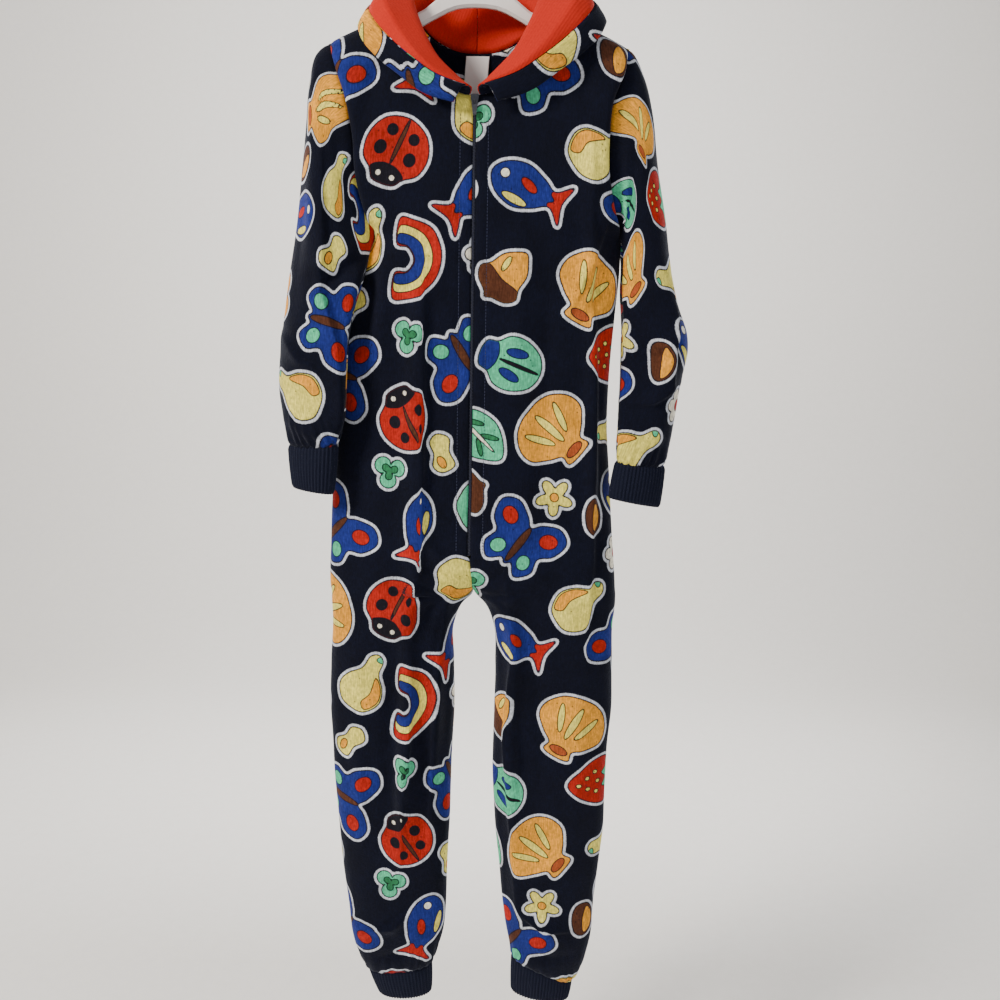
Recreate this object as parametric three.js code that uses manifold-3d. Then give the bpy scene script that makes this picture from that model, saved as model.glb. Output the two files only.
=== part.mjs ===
// A child's hooded one-piece pajama in plush fleece, hanging closed on a white plastic hanger.
// Units are millimetres. The origin is the inside top of the hanger's hook, +Z is up, the front faces -Y.
// The wearer's right side is at -X, and the wearer's left side is at +X.
// Each piece of cloth is a closed thin wall: a grid of points on its face, and the same grid moved in.

import * as THREE from "three";
import { NURBSCurve } from "three/addons/curves/NURBSCurve.js";
import { mergeVertices } from "three/addons/utils/BufferGeometryUtils.js";
import Module from "manifold-3d";

const wasm = await Module();
wasm.setup();

// Driving dimensions

const SEAM_GAP = 0.3;
const LAYER_GAP = 0.7;
const FLEECE = 2.0;
const JERSEY = 1.1;
const RIB_KNIT = 1.6;

const NECK_HALF = 64;
const NECK_SIDE_Z = -84;
const ZIP_TOP_Z = -168;
const ZIP_END_Z = -599;
const BACK_NECK_Z = -118;
const FRONT_NECK_POWER = 2.4;
const BACK_NECK_POWER = 2.6;
const SHOULDER_TIP_Z = -116;
const SHOULDER_BOW = 0.28;
const UNDERARM_Z = -288;
const SHOULDER_ROUND = 50;
const SIDE_ROUND_POWER = 2.6;
const LEG_END_Z = -1068;
const ANKLE_END_Z = -1106;
const ZIP_SLOT = 3.2;

const ARMHOLE_DEPTH_FRONT = 27;
const ARMHOLE_DEPTH_BACK = 22;
const ARMHOLE_STEPS = 8;
const ARMHOLE_EASE = 5;
const FRONT_COLUMNS = 12;
const BACK_COLUMNS = 10;

const RIB_COUNT = 26;
const RIB_RISE = 0.7;
const CUFF_STEPS = 3;
const CUFF_DRAW = 1.5;
const CUFF_DROP = 0.8;
const CUFF_SWELL = 1.2;
const ANKLE_CUFF = { topHalf: 16, endHalf: 15, endSlope: 0.3, endRise: 4, narrower: { right: -12, left: 4 } };

const FACING_WIDTH = 20;
const FACING_CLOTH = 1.6;
const HOOD_STEPS = 17;
const NECK_SEAM_RISE = 1.3;

const HANGER_THICK = 8;
const HANGER_BEVEL = 2.4;
const HOOK_WIRE = 3.5;
const HOOK_RADIUS = 20;
const HOOK_STEM = { bottomZ: -68, topZ: -52 };
const HOOK_TURN = { start: -62, end: 196, step: 21.5 };

const SLIDER = { width: 7.5, length: 10, top: 2, topZ: -168.5, thick: 1.2, raised: 0.8 };
const BAIL = { width: 1.1, bar: 0.9, above: 1.5, below: -2.9, front: 2.1 };
const PULL = {
  width: 5, length: 14, thick: 1.4, shoulder: 0.6, tip: 3.6,
  eyeHalf: 1.3, eyeTop: -0.75, eyeEnd: -4.4,
};
const PULL_DROP = 3;
const PULL_CLEARANCE = 0.4;
const LABEL = { left: -10.5, right: 12, length: 39, thick: 0.9, gap: 1.8, curl: 3, lean: -2.5, below: 1 };

// Tables: one row for each section, with named columns

// The armhole seam seen from the front
const ARMHOLE = {
  columns: ["z", "right", "left"],
  rows: [
    [-116, -138, 143],
    [-143, -130, 139],
    [-165, -122, 129],
    [-190, -115, 126],
    [-233, -112, 127],
    [-256, -108, 131],
    [-288, -99, 142],
  ],
};

// The side seams below the underarm, the inner edges, and the depth of the front and back
const BODY = {
  columns: ["z", "rightSide", "rightInner", "leftInner", "leftSide", "front", "back"],
  rows: [
    [-288, -99, 0, 0, 142, 36, 27],
    [-320, -113, 0, 0, 142, 36, 28],
    [-360, -125, 0, 0, 139, 36, 28],
    [-410, -133, 0, 0, 136, 36, 28],
    [-470, -137, 0, 0, 135, 36, 29],
    [-530, -139, 0, 0, 140, 36, 29],
    [-599, -142, 0, 0, 146, 36, 30],
    [-622, -143, 2, 2, 148, 35, 31],
    [-636, -143, 3, 3, 149, 34, 31],
    [-645, -142, 2, 6, 150, 34, 31],
    [-655, -142, -7, 15, 150, 33, 31],
    [-675, -141, -15, 24, 148, 33, 31],
    [-719, -143, -15, 27, 149, 32, 30],
    [-763, -144, -14, 27, 150, 31, 29],
    [-810, -142, -16, 26, 147, 31, 29],
    [-855, -140, -17, 27, 146, 30, 28],
    [-900, -136, -18, 30, 146, 29, 27],
    [-945, -133, -20, 35, 142, 28, 26],
    [-992, -127, -21, 40, 138, 27, 25],
    [-1025, -123, -24, 44, 136, 26, 24],
    [-1050, -116, -30, 48, 129, 23, 22],
    [-1068, -107, -36, 50, 119, 19, 18],
  ],
};

// How far a section has changed from a half of the body, 0, to a whole leg, 1
const LEGNESS = {
  columns: ["z", "value"],
  rows: [
    [-599, 0],
    [-622, 0.45],
    [-636, 0.8],
    [-645, 1],
  ],
};

// Each leg end and ankle cuff: half its slope from inseam to side seam
const HEM_TILT = { right: -4, left: -15, start: -1000 };

// The long creases: where each lies at each height, and how far it stands out or in
const CREASES = {
  frontRight: [
    { path: [[-345, -49], [-480, -48], [-592, -47], [-652, -57], [-823, -61], [-944, -70]],
      rise: 8, width: 15 },
    { path: [[-300, -86], [-346, -100], [-400, -112]], rise: -6, width: 14 },
    { path: [[-630, -28], [-715, -30], [-800, -34]], rise: 5, width: 11 },
  ],
  frontLeft: [
    { path: [[-190, 108], [-300, 116], [-444, 120], [-580, 124]], rise: 5, width: 14 },
    { path: [[-615, 34], [-714, 47], [-777, 40], [-920, 54], [-1010, 57]], rise: 7, width: 13 },
    { path: [[-420, 62], [-520, 70], [-640, 84]], rise: -4, width: 18 },
  ],
  backRight: [
    { path: [[-330, -62], [-520, -70], [-700, -84], [-900, -82]], rise: 7, width: 20 },
    { path: [[-640, -34], [-800, -40], [-930, -44]], rise: -5, width: 16 },
  ],
  backLeft: [
    { path: [[-300, 80], [-480, 74], [-690, 92], [-930, 88]], rise: 8, width: 20 },
    { path: [[-660, 52], [-820, 50], [-960, 62]], rise: -5, width: 16 },
  ],
};
const CREASE_FADE = 45;
const CREASE_END = 0.3;
const CREASE_SOFTNESS = 1.5;
const CREASE_FLANK = 1.2;

// Sleeve sections: both ends of each flattened ring seen from the front, and their places in depth
const SLEEVES = {
  right: {
    columns: ["outerX", "outerZ", "innerX", "innerZ", "half", "outerY", "innerY", "fold"],
    rows: [
      [-150, -126, -102, -291, 27, 0, -3, 0],
      [-156, -150, -107, -297, 27, -2, -8, 2],
      [-160, -187, -112, -309, 26, -4, -16, 5],
      [-165, -228, -114, -326, 24, -7, -26, 6],
      [-170, -270, -114, -348, 22, -10, -34, 6],
      [-176, -318, -115, -374, 20, -13, -39, 6],
      [-181, -362, -117, -402, 20, -16, -42, 6],
      [-186, -402, -118, -428, 20, -18, -43, 5],
      [-188, -436, -119, -450, 20, -19, -43, 5],
      [-184, -466, -122, -472, 19, -20, -43, 3],
      [-179, -493, -128, -490, 17, -22, -41, 0],
    ],
  },
  left: {
    columns: ["outerX", "outerZ", "innerX", "innerZ", "half", "outerY", "innerY", "fold"],
    rows: [
      [152, -128, 145, -290, 26, 0, 0, 0],
      [160, -146, 147, -294, 26, 0, -1, 2],
      [167, -172, 148, -302, 26, 0, -2, 4],
      [174, -210, 148, -316, 25, 0, -3, 6],
      [182, -255, 147, -335, 24, 0, -4, 7],
      [190, -305, 146, -362, 23, 0, -5, 7],
      [200, -350, 145, -394, 23, 0, -6, 7],
      [212, -388, 145, -425, 22, -2, -9, 6],
      [206, -428, 144, -455, 21, -4, -13, 5],
      [200, -470, 143, -482, 19, -7, -18, 3],
      [193, -509, 143, -503, 16, -10, -23, 0],
    ],
  },
};
const SLEEVE_SIDES = 16;

// Where round a sleeve its crest and trough lie, in half turns, and how much of the fold each one takes
const SLEEVE_FOLD = { crestAt: 0.3, troughAt: 0.72, crest: 0.7, trough: 0.6 };

// The lower end of each wrist cuff: its two ends seen from the front, its half depth, their places in depth
const WRIST_END = {
  right: { outerX: -175, outerZ: -535, innerX: -133, innerZ: -539, half: 13, outerY: -24, innerY: -40 },
  left: { outerX: 189, outerZ: -551, innerX: 137, innerZ: -540, half: 12, outerY: -12, innerY: -27 },
};

// The hood, a row for each place along the neck from the zip round to the centre back:
// neck gives the place on the neck edge, roll the top of the first fold, bag the low fold, edge the free edge
const HOOD = {
  columns: [
    "neckX", "back", "rollX", "rollY", "rollZ", "bagX", "bagY", "bagZ", "bagGap", "edgeX", "edgeY", "edgeZ",
  ],
  rows: [
    [4.6, 0, 5.5, -46, -161, 12, -51, -164, 0, 19, -47, -176],
    [22, 0, 20, -44, -150, 33, -53, -152, 0, 47, -47, -168],
    [40, 0, 36, -45, -135, 52, -55, -137, 0, 70, -46, -152],
    [54, 0, 48, -39, -115, 69, -49, -116, 0, 88, -41, -138],
    [61, 0, 56, -30, -96, 81, -42, -94, 0, 101, -37, -124],
    [64, 0, 61, -15, -74, 86, -24, -76, 3, 107, -27, -110],
    [63, 1, 62, 3, -62, 84, 7, -80, 10, 108, 2, -96],
    [59, 1, 60, 12, -53, 80, 19, -98, 13, 107, 24, -83],
    [52, 1, 54, 20, -46, 76, 31, -138, 15, 98, 42, -71],
    [40, 1, 43, 25, -39, 67, 38, -196, 18, 78, 55, -60],
    [20, 1, 23, 27, -35, 42, 40, -246, 20, 44, 60, -52],
    [0.15, 1, 0.15, 28, -34, 0.15, 41, -262, 20, 0.15, 61, -49],
  ],
};
const HOOD_LEFT_REACH = 1.1;
const HOOD_LEFT_RISE = 7;
const HOOD_ROLL_GAP = { front: 12, back: 20 };

// The hanger's arm: the middle of its height, and its height, at each distance from the hook
const HANGER_ARM = {
  columns: ["x", "z", "height"],
  rows: [
    [0, -69, 26],
    [20, -73, 22],
    [38, -84, 16],
    [54, -94, 13],
    [80, -103, 12],
    [104, -113, 11],
    [124, -122, 10],
  ],
};

// Reads a table: the value of a column where the first column has a given value, on straight lines
function read(table, name, key) {
  const column = table.columns.indexOf(name);
  const rows = table.rows;
  const rising = rows[rows.length - 1][0] > rows[0][0];
  const reached = (row) => (rising ? row[0] >= key : row[0] <= key);
  const next = rows.findIndex(reached);
  if (next === 0) return rows[0][column];
  if (next < 0) return rows[rows.length - 1][column];
  const [a, b] = [rows[next - 1], rows[next]];
  return THREE.MathUtils.mapLinear(key, a[0], b[0], a[column], b[column]);
}

// A table's row as an object with its column names
const named = (table, row) => Object.fromEntries(table.columns.map((name, i) => [name, row[i]]));

// Materials

const matt = (color, roughness = 0.95) => new THREE.MeshStandardMaterial({ color, roughness, metalness: 0 });
const fleece = matt("#11162c");
const redJersey = matt("#cf2f17");
const ribKnit = matt("#0e1226");
const satin = matt("#ecebea", 0.5);
const zipCoil = matt("#15182a", 0.6);
const hangerPlastic = matt("#e8e6e1", 0.4);
const darkMetal = new THREE.MeshStandardMaterial({ color: "#3b3d45", roughness: 0.4, metalness: 0.9 });

// Geometry of thin walls

// The unit normals of a grid of points, from each point's neighbours
function gridNormals(grid, closed) {
  const last = grid[0].length - 1;
  return grid.map((row, i) =>
    row.map((_, j) => {
      const up = grid[Math.max(i - 1, 0)][j];
      const down = grid[Math.min(i + 1, grid.length - 1)][j];
      const before = closed ? row[(j + last) % (last + 1)] : row[Math.max(j - 1, 0)];
      const after = closed ? row[(j + 1) % (last + 1)] : row[Math.min(j + 1, last)];
      const along = down.clone().sub(up);
      return after.clone().sub(before).cross(along).normalize();
    }),
  );
}

// A closed wall between two grids with the same rows and columns, the first one outside
function wall(outer, inner, closed = false) {
  const rows = outer.length;
  const columns = outer[0].length;
  const positions = [];
  const indices = [];
  for (const row of [...outer, ...inner]) for (const p of row) positions.push(p.x, p.y, p.z);
  const at = (layer, i, j) => layer * rows * columns + i * columns + (j % columns);
  const quad = (a, b, c, d) => indices.push(a, b, c, a, c, d);
  const spans = closed ? columns : columns - 1;
  for (let i = 0; i < rows - 1; i++) {
    for (let j = 0; j < spans; j++) {
      quad(at(0, i, j), at(0, i + 1, j), at(0, i + 1, j + 1), at(0, i, j + 1));
      quad(at(1, i, j), at(1, i, j + 1), at(1, i + 1, j + 1), at(1, i + 1, j));
    }
  }
  for (let j = 0; j < spans; j++) {
    quad(at(0, 0, j), at(0, 0, j + 1), at(1, 0, j + 1), at(1, 0, j));
    quad(at(0, rows - 1, j), at(1, rows - 1, j), at(1, rows - 1, j + 1), at(0, rows - 1, j + 1));
  }
  if (!closed) {
    for (let i = 0; i < rows - 1; i++) {
      quad(at(0, i, 0), at(1, i, 0), at(1, i + 1, 0), at(0, i + 1, 0));
      const j = columns - 1;
      quad(at(0, i, j), at(0, i + 1, j), at(1, i + 1, j), at(1, i, j));
    }
  }
  const geometry = new THREE.BufferGeometry();
  geometry.setAttribute("position", new THREE.Float32BufferAttribute(positions, 3));
  geometry.setIndex(indices);
  return outward(geometry);
}

// Turns a closed geometry's faces to point out
function outward(geometry) {
  const p = geometry.getAttribute("position");
  const index = geometry.index.array;
  const corner = (k) => new THREE.Vector3().fromBufferAttribute(p, index[k]);
  let volume = 0;
  for (let k = 0; k < index.length; k += 3) volume += corner(k).dot(corner(k + 1).cross(corner(k + 2)));
  if (volume < 0) index.reverse();
  geometry.computeVertexNormals();
  return geometry;
}

// A grid moved along its normals
const moved = (grid, normals, distance) =>
  grid.map((row, i) => row.map((p, j) => p.clone().addScaledVector(normals[i][j], distance)));

function solid(geometry, material, name) {
  const mesh = new THREE.Mesh(geometry, material);
  mesh.name = name;
  return mesh;
}

// The body: fronts and backs

// The top edge of a panel: neck from the centre to the neck point, then the shoulder seam
function topEdge(distance, face, tip) {
  if (distance >= NECK_HALF) {
    const along = (distance - NECK_HALF) / (tip - NECK_HALF);
    const fall = (1 - SHOULDER_BOW) * along + SHOULDER_BOW * along * along;
    return THREE.MathUtils.lerp(NECK_SIDE_Z, SHOULDER_TIP_Z, fall);
  }
  const low = face < 0 ? ZIP_TOP_Z : BACK_NECK_Z;
  const power = face < 0 ? FRONT_NECK_POWER : BACK_NECK_POWER;
  return low + (NECK_SIDE_Z - low) * Math.pow(distance / NECK_HALF, power);
}

// How far the neck edge stands from the shoulder plane, 1 at the centre and 0 at the neck point
const neckOpen = (distance) => (distance >= NECK_HALF ? 0 : Math.sqrt(1 - Math.pow(distance / NECK_HALF, 2)));

const armholeAngle = (step) => (Math.PI * step) / ARMHOLE_STEPS;
const armholeFall = (step) => (1 - Math.cos(armholeAngle(step))) / 2;
const armholeZ = (step) => THREE.MathUtils.lerp(SHOULDER_TIP_Z, UNDERARM_Z, armholeFall(step));
const armholeDepth = (step, face) =>
  (face < 0 ? ARMHOLE_DEPTH_FRONT : ARMHOLE_DEPTH_BACK) * Math.sin(armholeAngle(step));

// The offset of a crease at a point, soft at both ends and on both flanks
function creaseRise(creases, x, z) {
  let rise = 0;
  for (const crease of creases) {
    const path = { columns: ["z", "x"], rows: crease.path };
    const [start, end] = [crease.path[0][0], crease.path[crease.path.length - 1][0]];
    const fade = Math.min(1, Math.max(0, Math.min(start - z, z - end) / CREASE_FADE + CREASE_END));
    const across = Math.abs(x - read(path, "x", z)) / crease.width;
    if (across < 1) rise += crease.rise * fade * Math.pow(1 - across, CREASE_SOFTNESS);
  }
  return rise;
}

// One panel from shoulder to ankle.
// side is -1 for the wearer's right and 1 for the left, and face is -1 for the front and 1 for the back.
function panelGrid(side, face) {
  const hand = side < 0 ? "right" : "left";
  const columns = face < 0 ? FRONT_COLUMNS : BACK_COLUMNS;
  const creases = CREASES[(face < 0 ? "front" : "back") + (side < 0 ? "Right" : "Left")];
  const tip = Math.abs(read(ARMHOLE, hand, SHOULDER_TIP_Z));
  const centreEdge = face < 0 ? ZIP_SLOT / 2 : SEAM_GAP / 2;
  const bodyRows = BODY.rows.slice(1).map((row) => row[0]);
  const grid = [];
  for (let step = 0; step < ARMHOLE_STEPS + 1 + bodyRows.length; step++) {
    const upper = step <= ARMHOLE_STEPS;
    const level = upper ? armholeZ(step) : bodyRows[step - ARMHOLE_STEPS - 1];
    const legness = read(LEGNESS, "value", level);
    const inner = read(BODY, hand + "Inner", level);
    const edge = upper ? read(ARMHOLE, hand, level) : read(BODY, hand + "Side", level);
    const start = Math.asin(-legness);
    const row = [];
    for (let j = 0; j <= columns; j++) {
      const around = Math.sin(THREE.MathUtils.lerp(start, Math.PI / 2, j / columns));
      const across = (around + legness) / (1 + legness);
      const gapX = side * centreEdge * Math.max(0, 1 - legness);
      let x = THREE.MathUtils.lerp(inner + gapX, edge, across);
      const distance = Math.abs(x);
      let z = level;
      let round = 1;
      if (upper) {
        const columnTop = topEdge(tip * across, face, tip);
        z = THREE.MathUtils.mapLinear(level, SHOULDER_TIP_Z, UNDERARM_Z, columnTop, UNDERARM_Z);
        const below = Math.min(1, (columnTop - z) / SHOULDER_ROUND);
        const open = neckOpen(tip * across);
        round = open + (1 - open) * Math.sqrt(1 - Math.pow(1 - below, 2));
        if (step === 0) x = Math.max(distance, centreEdge) * side;
      }
      const depth = read(BODY, face < 0 ? "front" : "back", z);
      const flank = Math.pow(Math.max(0, 1 - Math.abs(around) ** SIDE_ROUND_POWER), 1 / SIDE_ROUND_POWER);
      const atArmhole = upper ? armholeDepth(step, face) * Math.pow(across, ARMHOLE_EASE) : 0;
      const crease = creaseRise(creases, x, z) * Math.min(1, flank * CREASE_FLANK);
      const out = depth * round * flank + atArmhole + crease;
      if (z < HEM_TILT.start) {
        const lower = (HEM_TILT.start - z) / (HEM_TILT.start - LEG_END_Z);
        z += HEM_TILT[hand] * (2 * across - 1) * lower;
      }
      row.push(new THREE.Vector3(x, face * Math.max(out, SEAM_GAP / 2), z));
    }
    grid.push(row);
  }
  return grid;
}

// The wall of a panel: its edges stand square to the seams, and it stays on its own side of each seam
function panel(side, face, name) {
  const outer = panelGrid(side, face);
  const normals = gridNormals(outer, false);
  for (const row of normals) for (const n of row) if (n.y * face < 0) n.negate();
  const lastColumn = outer[0].length - 1;
  const inner = outer.map((row, i) =>
    row.map((p, j) => {
      const n = normals[i][j];
      const onSideSeam = Math.abs(p.y) < 1 && (j === lastColumn || j === 0 || i === 0);
      if (onSideSeam) n.y = 0;
      if (j === 0 && Math.abs(p.y) >= 1) n.x = 0;
      n.normalize();
      const q = p.clone().addScaledVector(n, -FLEECE);
      if (q.y * face < SEAM_GAP / 2) q.y = (face * SEAM_GAP) / 2;
      return q;
    }),
  );
  return solid(wall(outer, inner), fleece, name);
}

// Sleeves and cuffs

// The armhole as a closed ring: down the front from the shoulder tip, and up the back
function armholeRing(hand) {
  const ring = [];
  const shift = (hand === "right" ? -1 : 1) * SEAM_GAP;
  for (let j = 0; j < SLEEVE_SIDES; j++) {
    const back = j > ARMHOLE_STEPS;
    const step = back ? SLEEVE_SIDES - j : j;
    const z = armholeZ(step);
    const depth = armholeDepth(step, back ? 1 : -1) * (back ? 1 : -1);
    ring.push(new THREE.Vector3(read(ARMHOLE, hand, z) + shift, depth, z));
  }
  return ring;
}

// A flattened ring between its outer and inner ends, with a fold raised on its front and back
function flatRing(section, sides) {
  const outer = new THREE.Vector3(section.outerX, section.outerY, section.outerZ);
  const inner = new THREE.Vector3(section.innerX, section.innerY, section.innerZ);
  const middle = outer.clone().lerp(inner, 0.5);
  const reach = outer.clone().sub(middle);
  const ring = [];
  for (let j = 0; j < sides; j++) {
    const angle = (2 * Math.PI * j) / sides;
    const crest = Math.max(0, Math.cos(2 * (angle - SLEEVE_FOLD.crestAt * Math.PI)));
    const trough = Math.max(0, Math.cos(2 * (angle - SLEEVE_FOLD.troughAt * Math.PI)));
    const fold = SLEEVE_FOLD.crest * crest * crest - SLEEVE_FOLD.trough * trough * trough;
    const half = section.half + section.fold * fold;
    const p = middle.clone().addScaledVector(reach, Math.cos(angle));
    p.y -= half * Math.sin(angle);
    ring.push(p);
  }
  return ring;
}

// The inside of a tube: each ring drawn in towards its own middle, square to its own line
function drawnIn(rings, thickness) {
  return rings.map((ring) => {
    const middle = ring.reduce((sum, p) => sum.add(p), new THREE.Vector3()).divideScalar(ring.length);
    return ring.map((p, j) => {
      const before = ring[(j + ring.length - 1) % ring.length];
      const after = ring[(j + 1) % ring.length];
      const along = after.clone().sub(before);
      const spoke = p.clone().sub(middle);
      const across = along.clone().cross(spoke);
      const out = across.cross(along).normalize();
      if (out.dot(spoke) < 0) out.negate();
      return p.clone().addScaledVector(out, -thickness);
    });
  });
}

function sleeve(hand, name) {
  const table = SLEEVES[hand];
  const rings = [armholeRing(hand), ...table.rows.map((row) => flatRing(named(table, row), SLEEVE_SIDES))];
  const inner = drawnIn(rings, FLEECE);
  inner[0].forEach((p, j) => {
    p.x = rings[0][j].x;
  });
  return solid(wall(rings, inner, true), fleece, name);
}

// A rib knit cuff: ribs are raised on its outside over a plain inside
function cuff(top, bottom, name) {
  const sides = 2 * RIB_COUNT;
  const plain = [];
  for (let i = 0; i <= CUFF_STEPS; i++) {
    const t = i / CUFF_STEPS;
    const between = (key) => [key, THREE.MathUtils.lerp(top[key], bottom[key], t)];
    const section = Object.fromEntries(Object.keys(top).map(between));
    section.half += CUFF_SWELL * Math.sin(Math.PI * t);
    plain.push(flatRing(section, sides));
  }
  const inner = drawnIn(plain, RIB_KNIT);
  const ribbed = drawnIn(plain, -RIB_RISE);
  const outer = plain.map((ring, i) => ring.map((p, j) => (j % 2 ? p : ribbed[i][j])));
  return solid(wall(outer, inner, true), ribKnit, name);
}

function wristCuff(hand, name) {
  const table = SLEEVES[hand];
  const top = named(table, table.rows[table.rows.length - 1]);
  top.half -= CUFF_DRAW;
  top.outerZ -= CUFF_DROP;
  top.innerZ -= CUFF_DROP;
  return cuff(top, { ...WRIST_END[hand], fold: 0 }, name);
}

function ankleCuff(hand, name) {
  const side = read(BODY, hand + "Side", LEG_END_Z);
  const inner = read(BODY, hand + "Inner", LEG_END_Z);
  const tilt = HEM_TILT[hand];
  const draw = Math.sign(side - inner) * CUFF_DRAW;
  const section = (z, narrow, half, slope) => ({
    outerX: side - draw - narrow, outerZ: z + slope, innerX: inner + draw, innerZ: z - slope,
    half, outerY: 0, innerY: 0, fold: 0,
  });
  const { topHalf, endHalf, endSlope, endRise, narrower } = ANKLE_CUFF;
  const top = section(LEG_END_Z - CUFF_DROP, 0, topHalf, tilt);
  const end = section(ANKLE_END_Z + endRise, narrower[hand], endHalf, tilt * endSlope);
  return cuff(top, end, name);
}

// The hood

// The point on the neck edge at a distance from the centre, just above the body's cloth
function neckPoint(distance, face, side) {
  const tip = Math.abs(ARMHOLE.rows[0][side < 0 ? 1 : 2]);
  const z = topEdge(distance, face, tip);
  const depth = read(BODY, face < 0 ? "front" : "back", z) - FLEECE / 2;
  const step = 0.5;
  const slope = (topEdge(distance + step, face, tip) - z) / step;
  const lift = new THREE.Vector2(-slope, 1).normalize().multiplyScalar(SEAM_GAP + NECK_SEAM_RISE);
  const x = Math.max(distance + lift.x, SEAM_GAP / 2);
  return new THREE.Vector3(side * x, face * depth * neckOpen(distance), z + lift.y);
}

// The middle of the hood's cloth: rows run from the zip to the centre back, columns from neck to free edge
function hoodGrid(side) {
  const reach = side < 0 ? 1 : HOOD_LEFT_REACH;
  const rise = side < 0 ? 0 : HOOD_LEFT_RISE;
  const grid = [];
  for (const row of HOOD.rows) {
    const h = named(HOOD, row);
    const neck = neckPoint(h.neckX, h.back ? 1 : -1, side);
    const widen = h.edgeX > 1 ? reach : 1;
    const lift = h.edgeX > 1 ? rise * Math.min(1, h.edgeX / 90) : 0;
    const edge = new THREE.Vector3(side * h.edgeX * widen, h.edgeY, h.edgeZ + lift);
    const bag = new THREE.Vector3(side * h.bagX * widen, h.bagY, h.bagZ + lift);
    const roll = new THREE.Vector3(side * h.rollX, h.rollY, h.rollZ + lift);
    const rollGap = h.back ? HOOD_ROLL_GAP.back : HOOD_ROLL_GAP.front;
    const away = bag.clone().sub(roll).setZ(0).normalize();
    const back = edge.clone().sub(bag).setZ(0).normalize();
    const controls = [
      neck,
      roll.clone().addScaledVector(away, -rollGap / 2),
      roll.clone().addScaledVector(away, rollGap / 2),
      bag,
      bag.clone().addScaledVector(back, h.bagGap),
      edge,
    ].map((p) => new THREE.Vector4(p.x, p.y, p.z, 1));
    const curve = new NURBSCurve(3, [0, 0, 0, 0, 1, 2, 3, 3, 3, 3], controls);
    curve.arcLengthDivisions = 400;
    const facingAt = 1 - FACING_WIDTH / curve.getLength();
    const liningEnd = curve.getUtoTmapping(facingAt - LAYER_GAP / curve.getLength());
    const facingStart = curve.getUtoTmapping(facingAt);
    const points = [];
    for (let j = 0; j <= HOOD_STEPS; j++) points.push(curve.getPoint((liningEnd * j) / HOOD_STEPS));
    for (let j = 0; j <= 2; j++) points.push(curve.getPoint(THREE.MathUtils.lerp(facingStart, 1, j / 2)));
    grid.push(points.map((p) => new THREE.Vector3(p.x, p.y, p.z)));
  }
  return grid;
}

// The printed shell, the red lining and the printed facing along the free edge
function hoodPieces(side, hand) {
  const middle = hoodGrid(side);
  const normals = gridNormals(middle, false);
  const lastRow = normals.length - 1;
  for (const row of normals) for (const n of row) n.multiplyScalar(-side);
  for (const n of normals[lastRow]) n.setX(0).normalize();
  for (const row of normals) row[HOOD_STEPS + 1].copy(row[HOOD_STEPS]);
  const columns = (grid, from, to) => grid.map((row) => row.slice(from, to));
  const ownSide = (p) => p.setX(side * Math.max(side * p.x, SEAM_GAP / 2));
  const layer = (from, to, near, far, material, name) => {
    const part = columns(middle, from, to);
    const partNormals = columns(normals, from, to);
    const faces = [far, near].map((distance) => moved(part, partNormals, distance));
    for (const grid of faces) for (const row of grid) row.forEach(ownSide);
    return solid(wall(...faces), material, name);
  };
  const half = LAYER_GAP / 2;
  const facingFrom = HOOD_STEPS + 1;
  return [
    layer(0, facingFrom + 3, half, half + FLEECE, fleece, "hood_outer_" + hand),
    layer(0, facingFrom, -half - JERSEY, -half, redJersey, "hood_lining_" + hand),
    layer(facingFrom, facingFrom + 3, -half - FACING_CLOTH, -half, fleece, "hood_facing_" + hand),
  ];
}

// The hanger

// A closed mesh as a manifold solid, and back again
function toManifold(geometry) {
  const bare = (geometry.index ? geometry.toNonIndexed() : geometry).clone();
  bare.deleteAttribute("normal");
  bare.deleteAttribute("uv");
  const merged = mergeVertices(bare, 1e-3);
  const vertProperties = merged.getAttribute("position").array;
  const triVerts = new Uint32Array(merged.index.array);
  return new wasm.Manifold(new wasm.Mesh({ numProp: 3, vertProperties, triVerts }));
}

function fromManifold(made) {
  const mesh = made.getMesh();
  const geometry = new THREE.BufferGeometry();
  geometry.setAttribute("position", new THREE.Float32BufferAttribute(mesh.vertProperties, 3));
  geometry.setIndex([...mesh.triVerts]);
  geometry.computeVertexNormals();
  return geometry;
}

// The arms as one flat moulding with rounded edges
function hangerArms() {
  const right = HANGER_ARM.rows.map(([x, z, height]) => [x, z + height / 2, z - height / 2]);
  const left = right.slice(1).reverse().map(([x, top, bottom]) => [-x, top, bottom]);
  const all = [...left, ...right];
  const shape = new THREE.Shape();
  const first = all[0];
  shape.moveTo(first[0], first[1]);
  shape.splineThru(all.slice(1).map(([x, top]) => new THREE.Vector2(x, top)));
  const last = all[all.length - 1];
  const endRadius = (last[1] - last[2]) / 2;
  shape.absarc(last[0], last[2] + endRadius, endRadius, Math.PI / 2, -Math.PI / 2, true);
  shape.splineThru(all.slice(0, -1).reverse().map(([x, , bottom]) => new THREE.Vector2(x, bottom)));
  shape.absarc(first[0], first[2] + endRadius, endRadius, -Math.PI / 2, -1.5 * Math.PI, true);
  const geometry = new THREE.ExtrudeGeometry(shape, {
    depth: HANGER_THICK - 2 * HANGER_BEVEL, curveSegments: 2, bevelSegments: 1,
    bevelThickness: HANGER_BEVEL, bevelSize: HANGER_BEVEL, bevelOffset: -HANGER_BEVEL,
  });
  geometry.rotateX(Math.PI / 2);
  geometry.translate(0, HANGER_THICK / 2 - HANGER_BEVEL, 0);
  return geometry;
}

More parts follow.
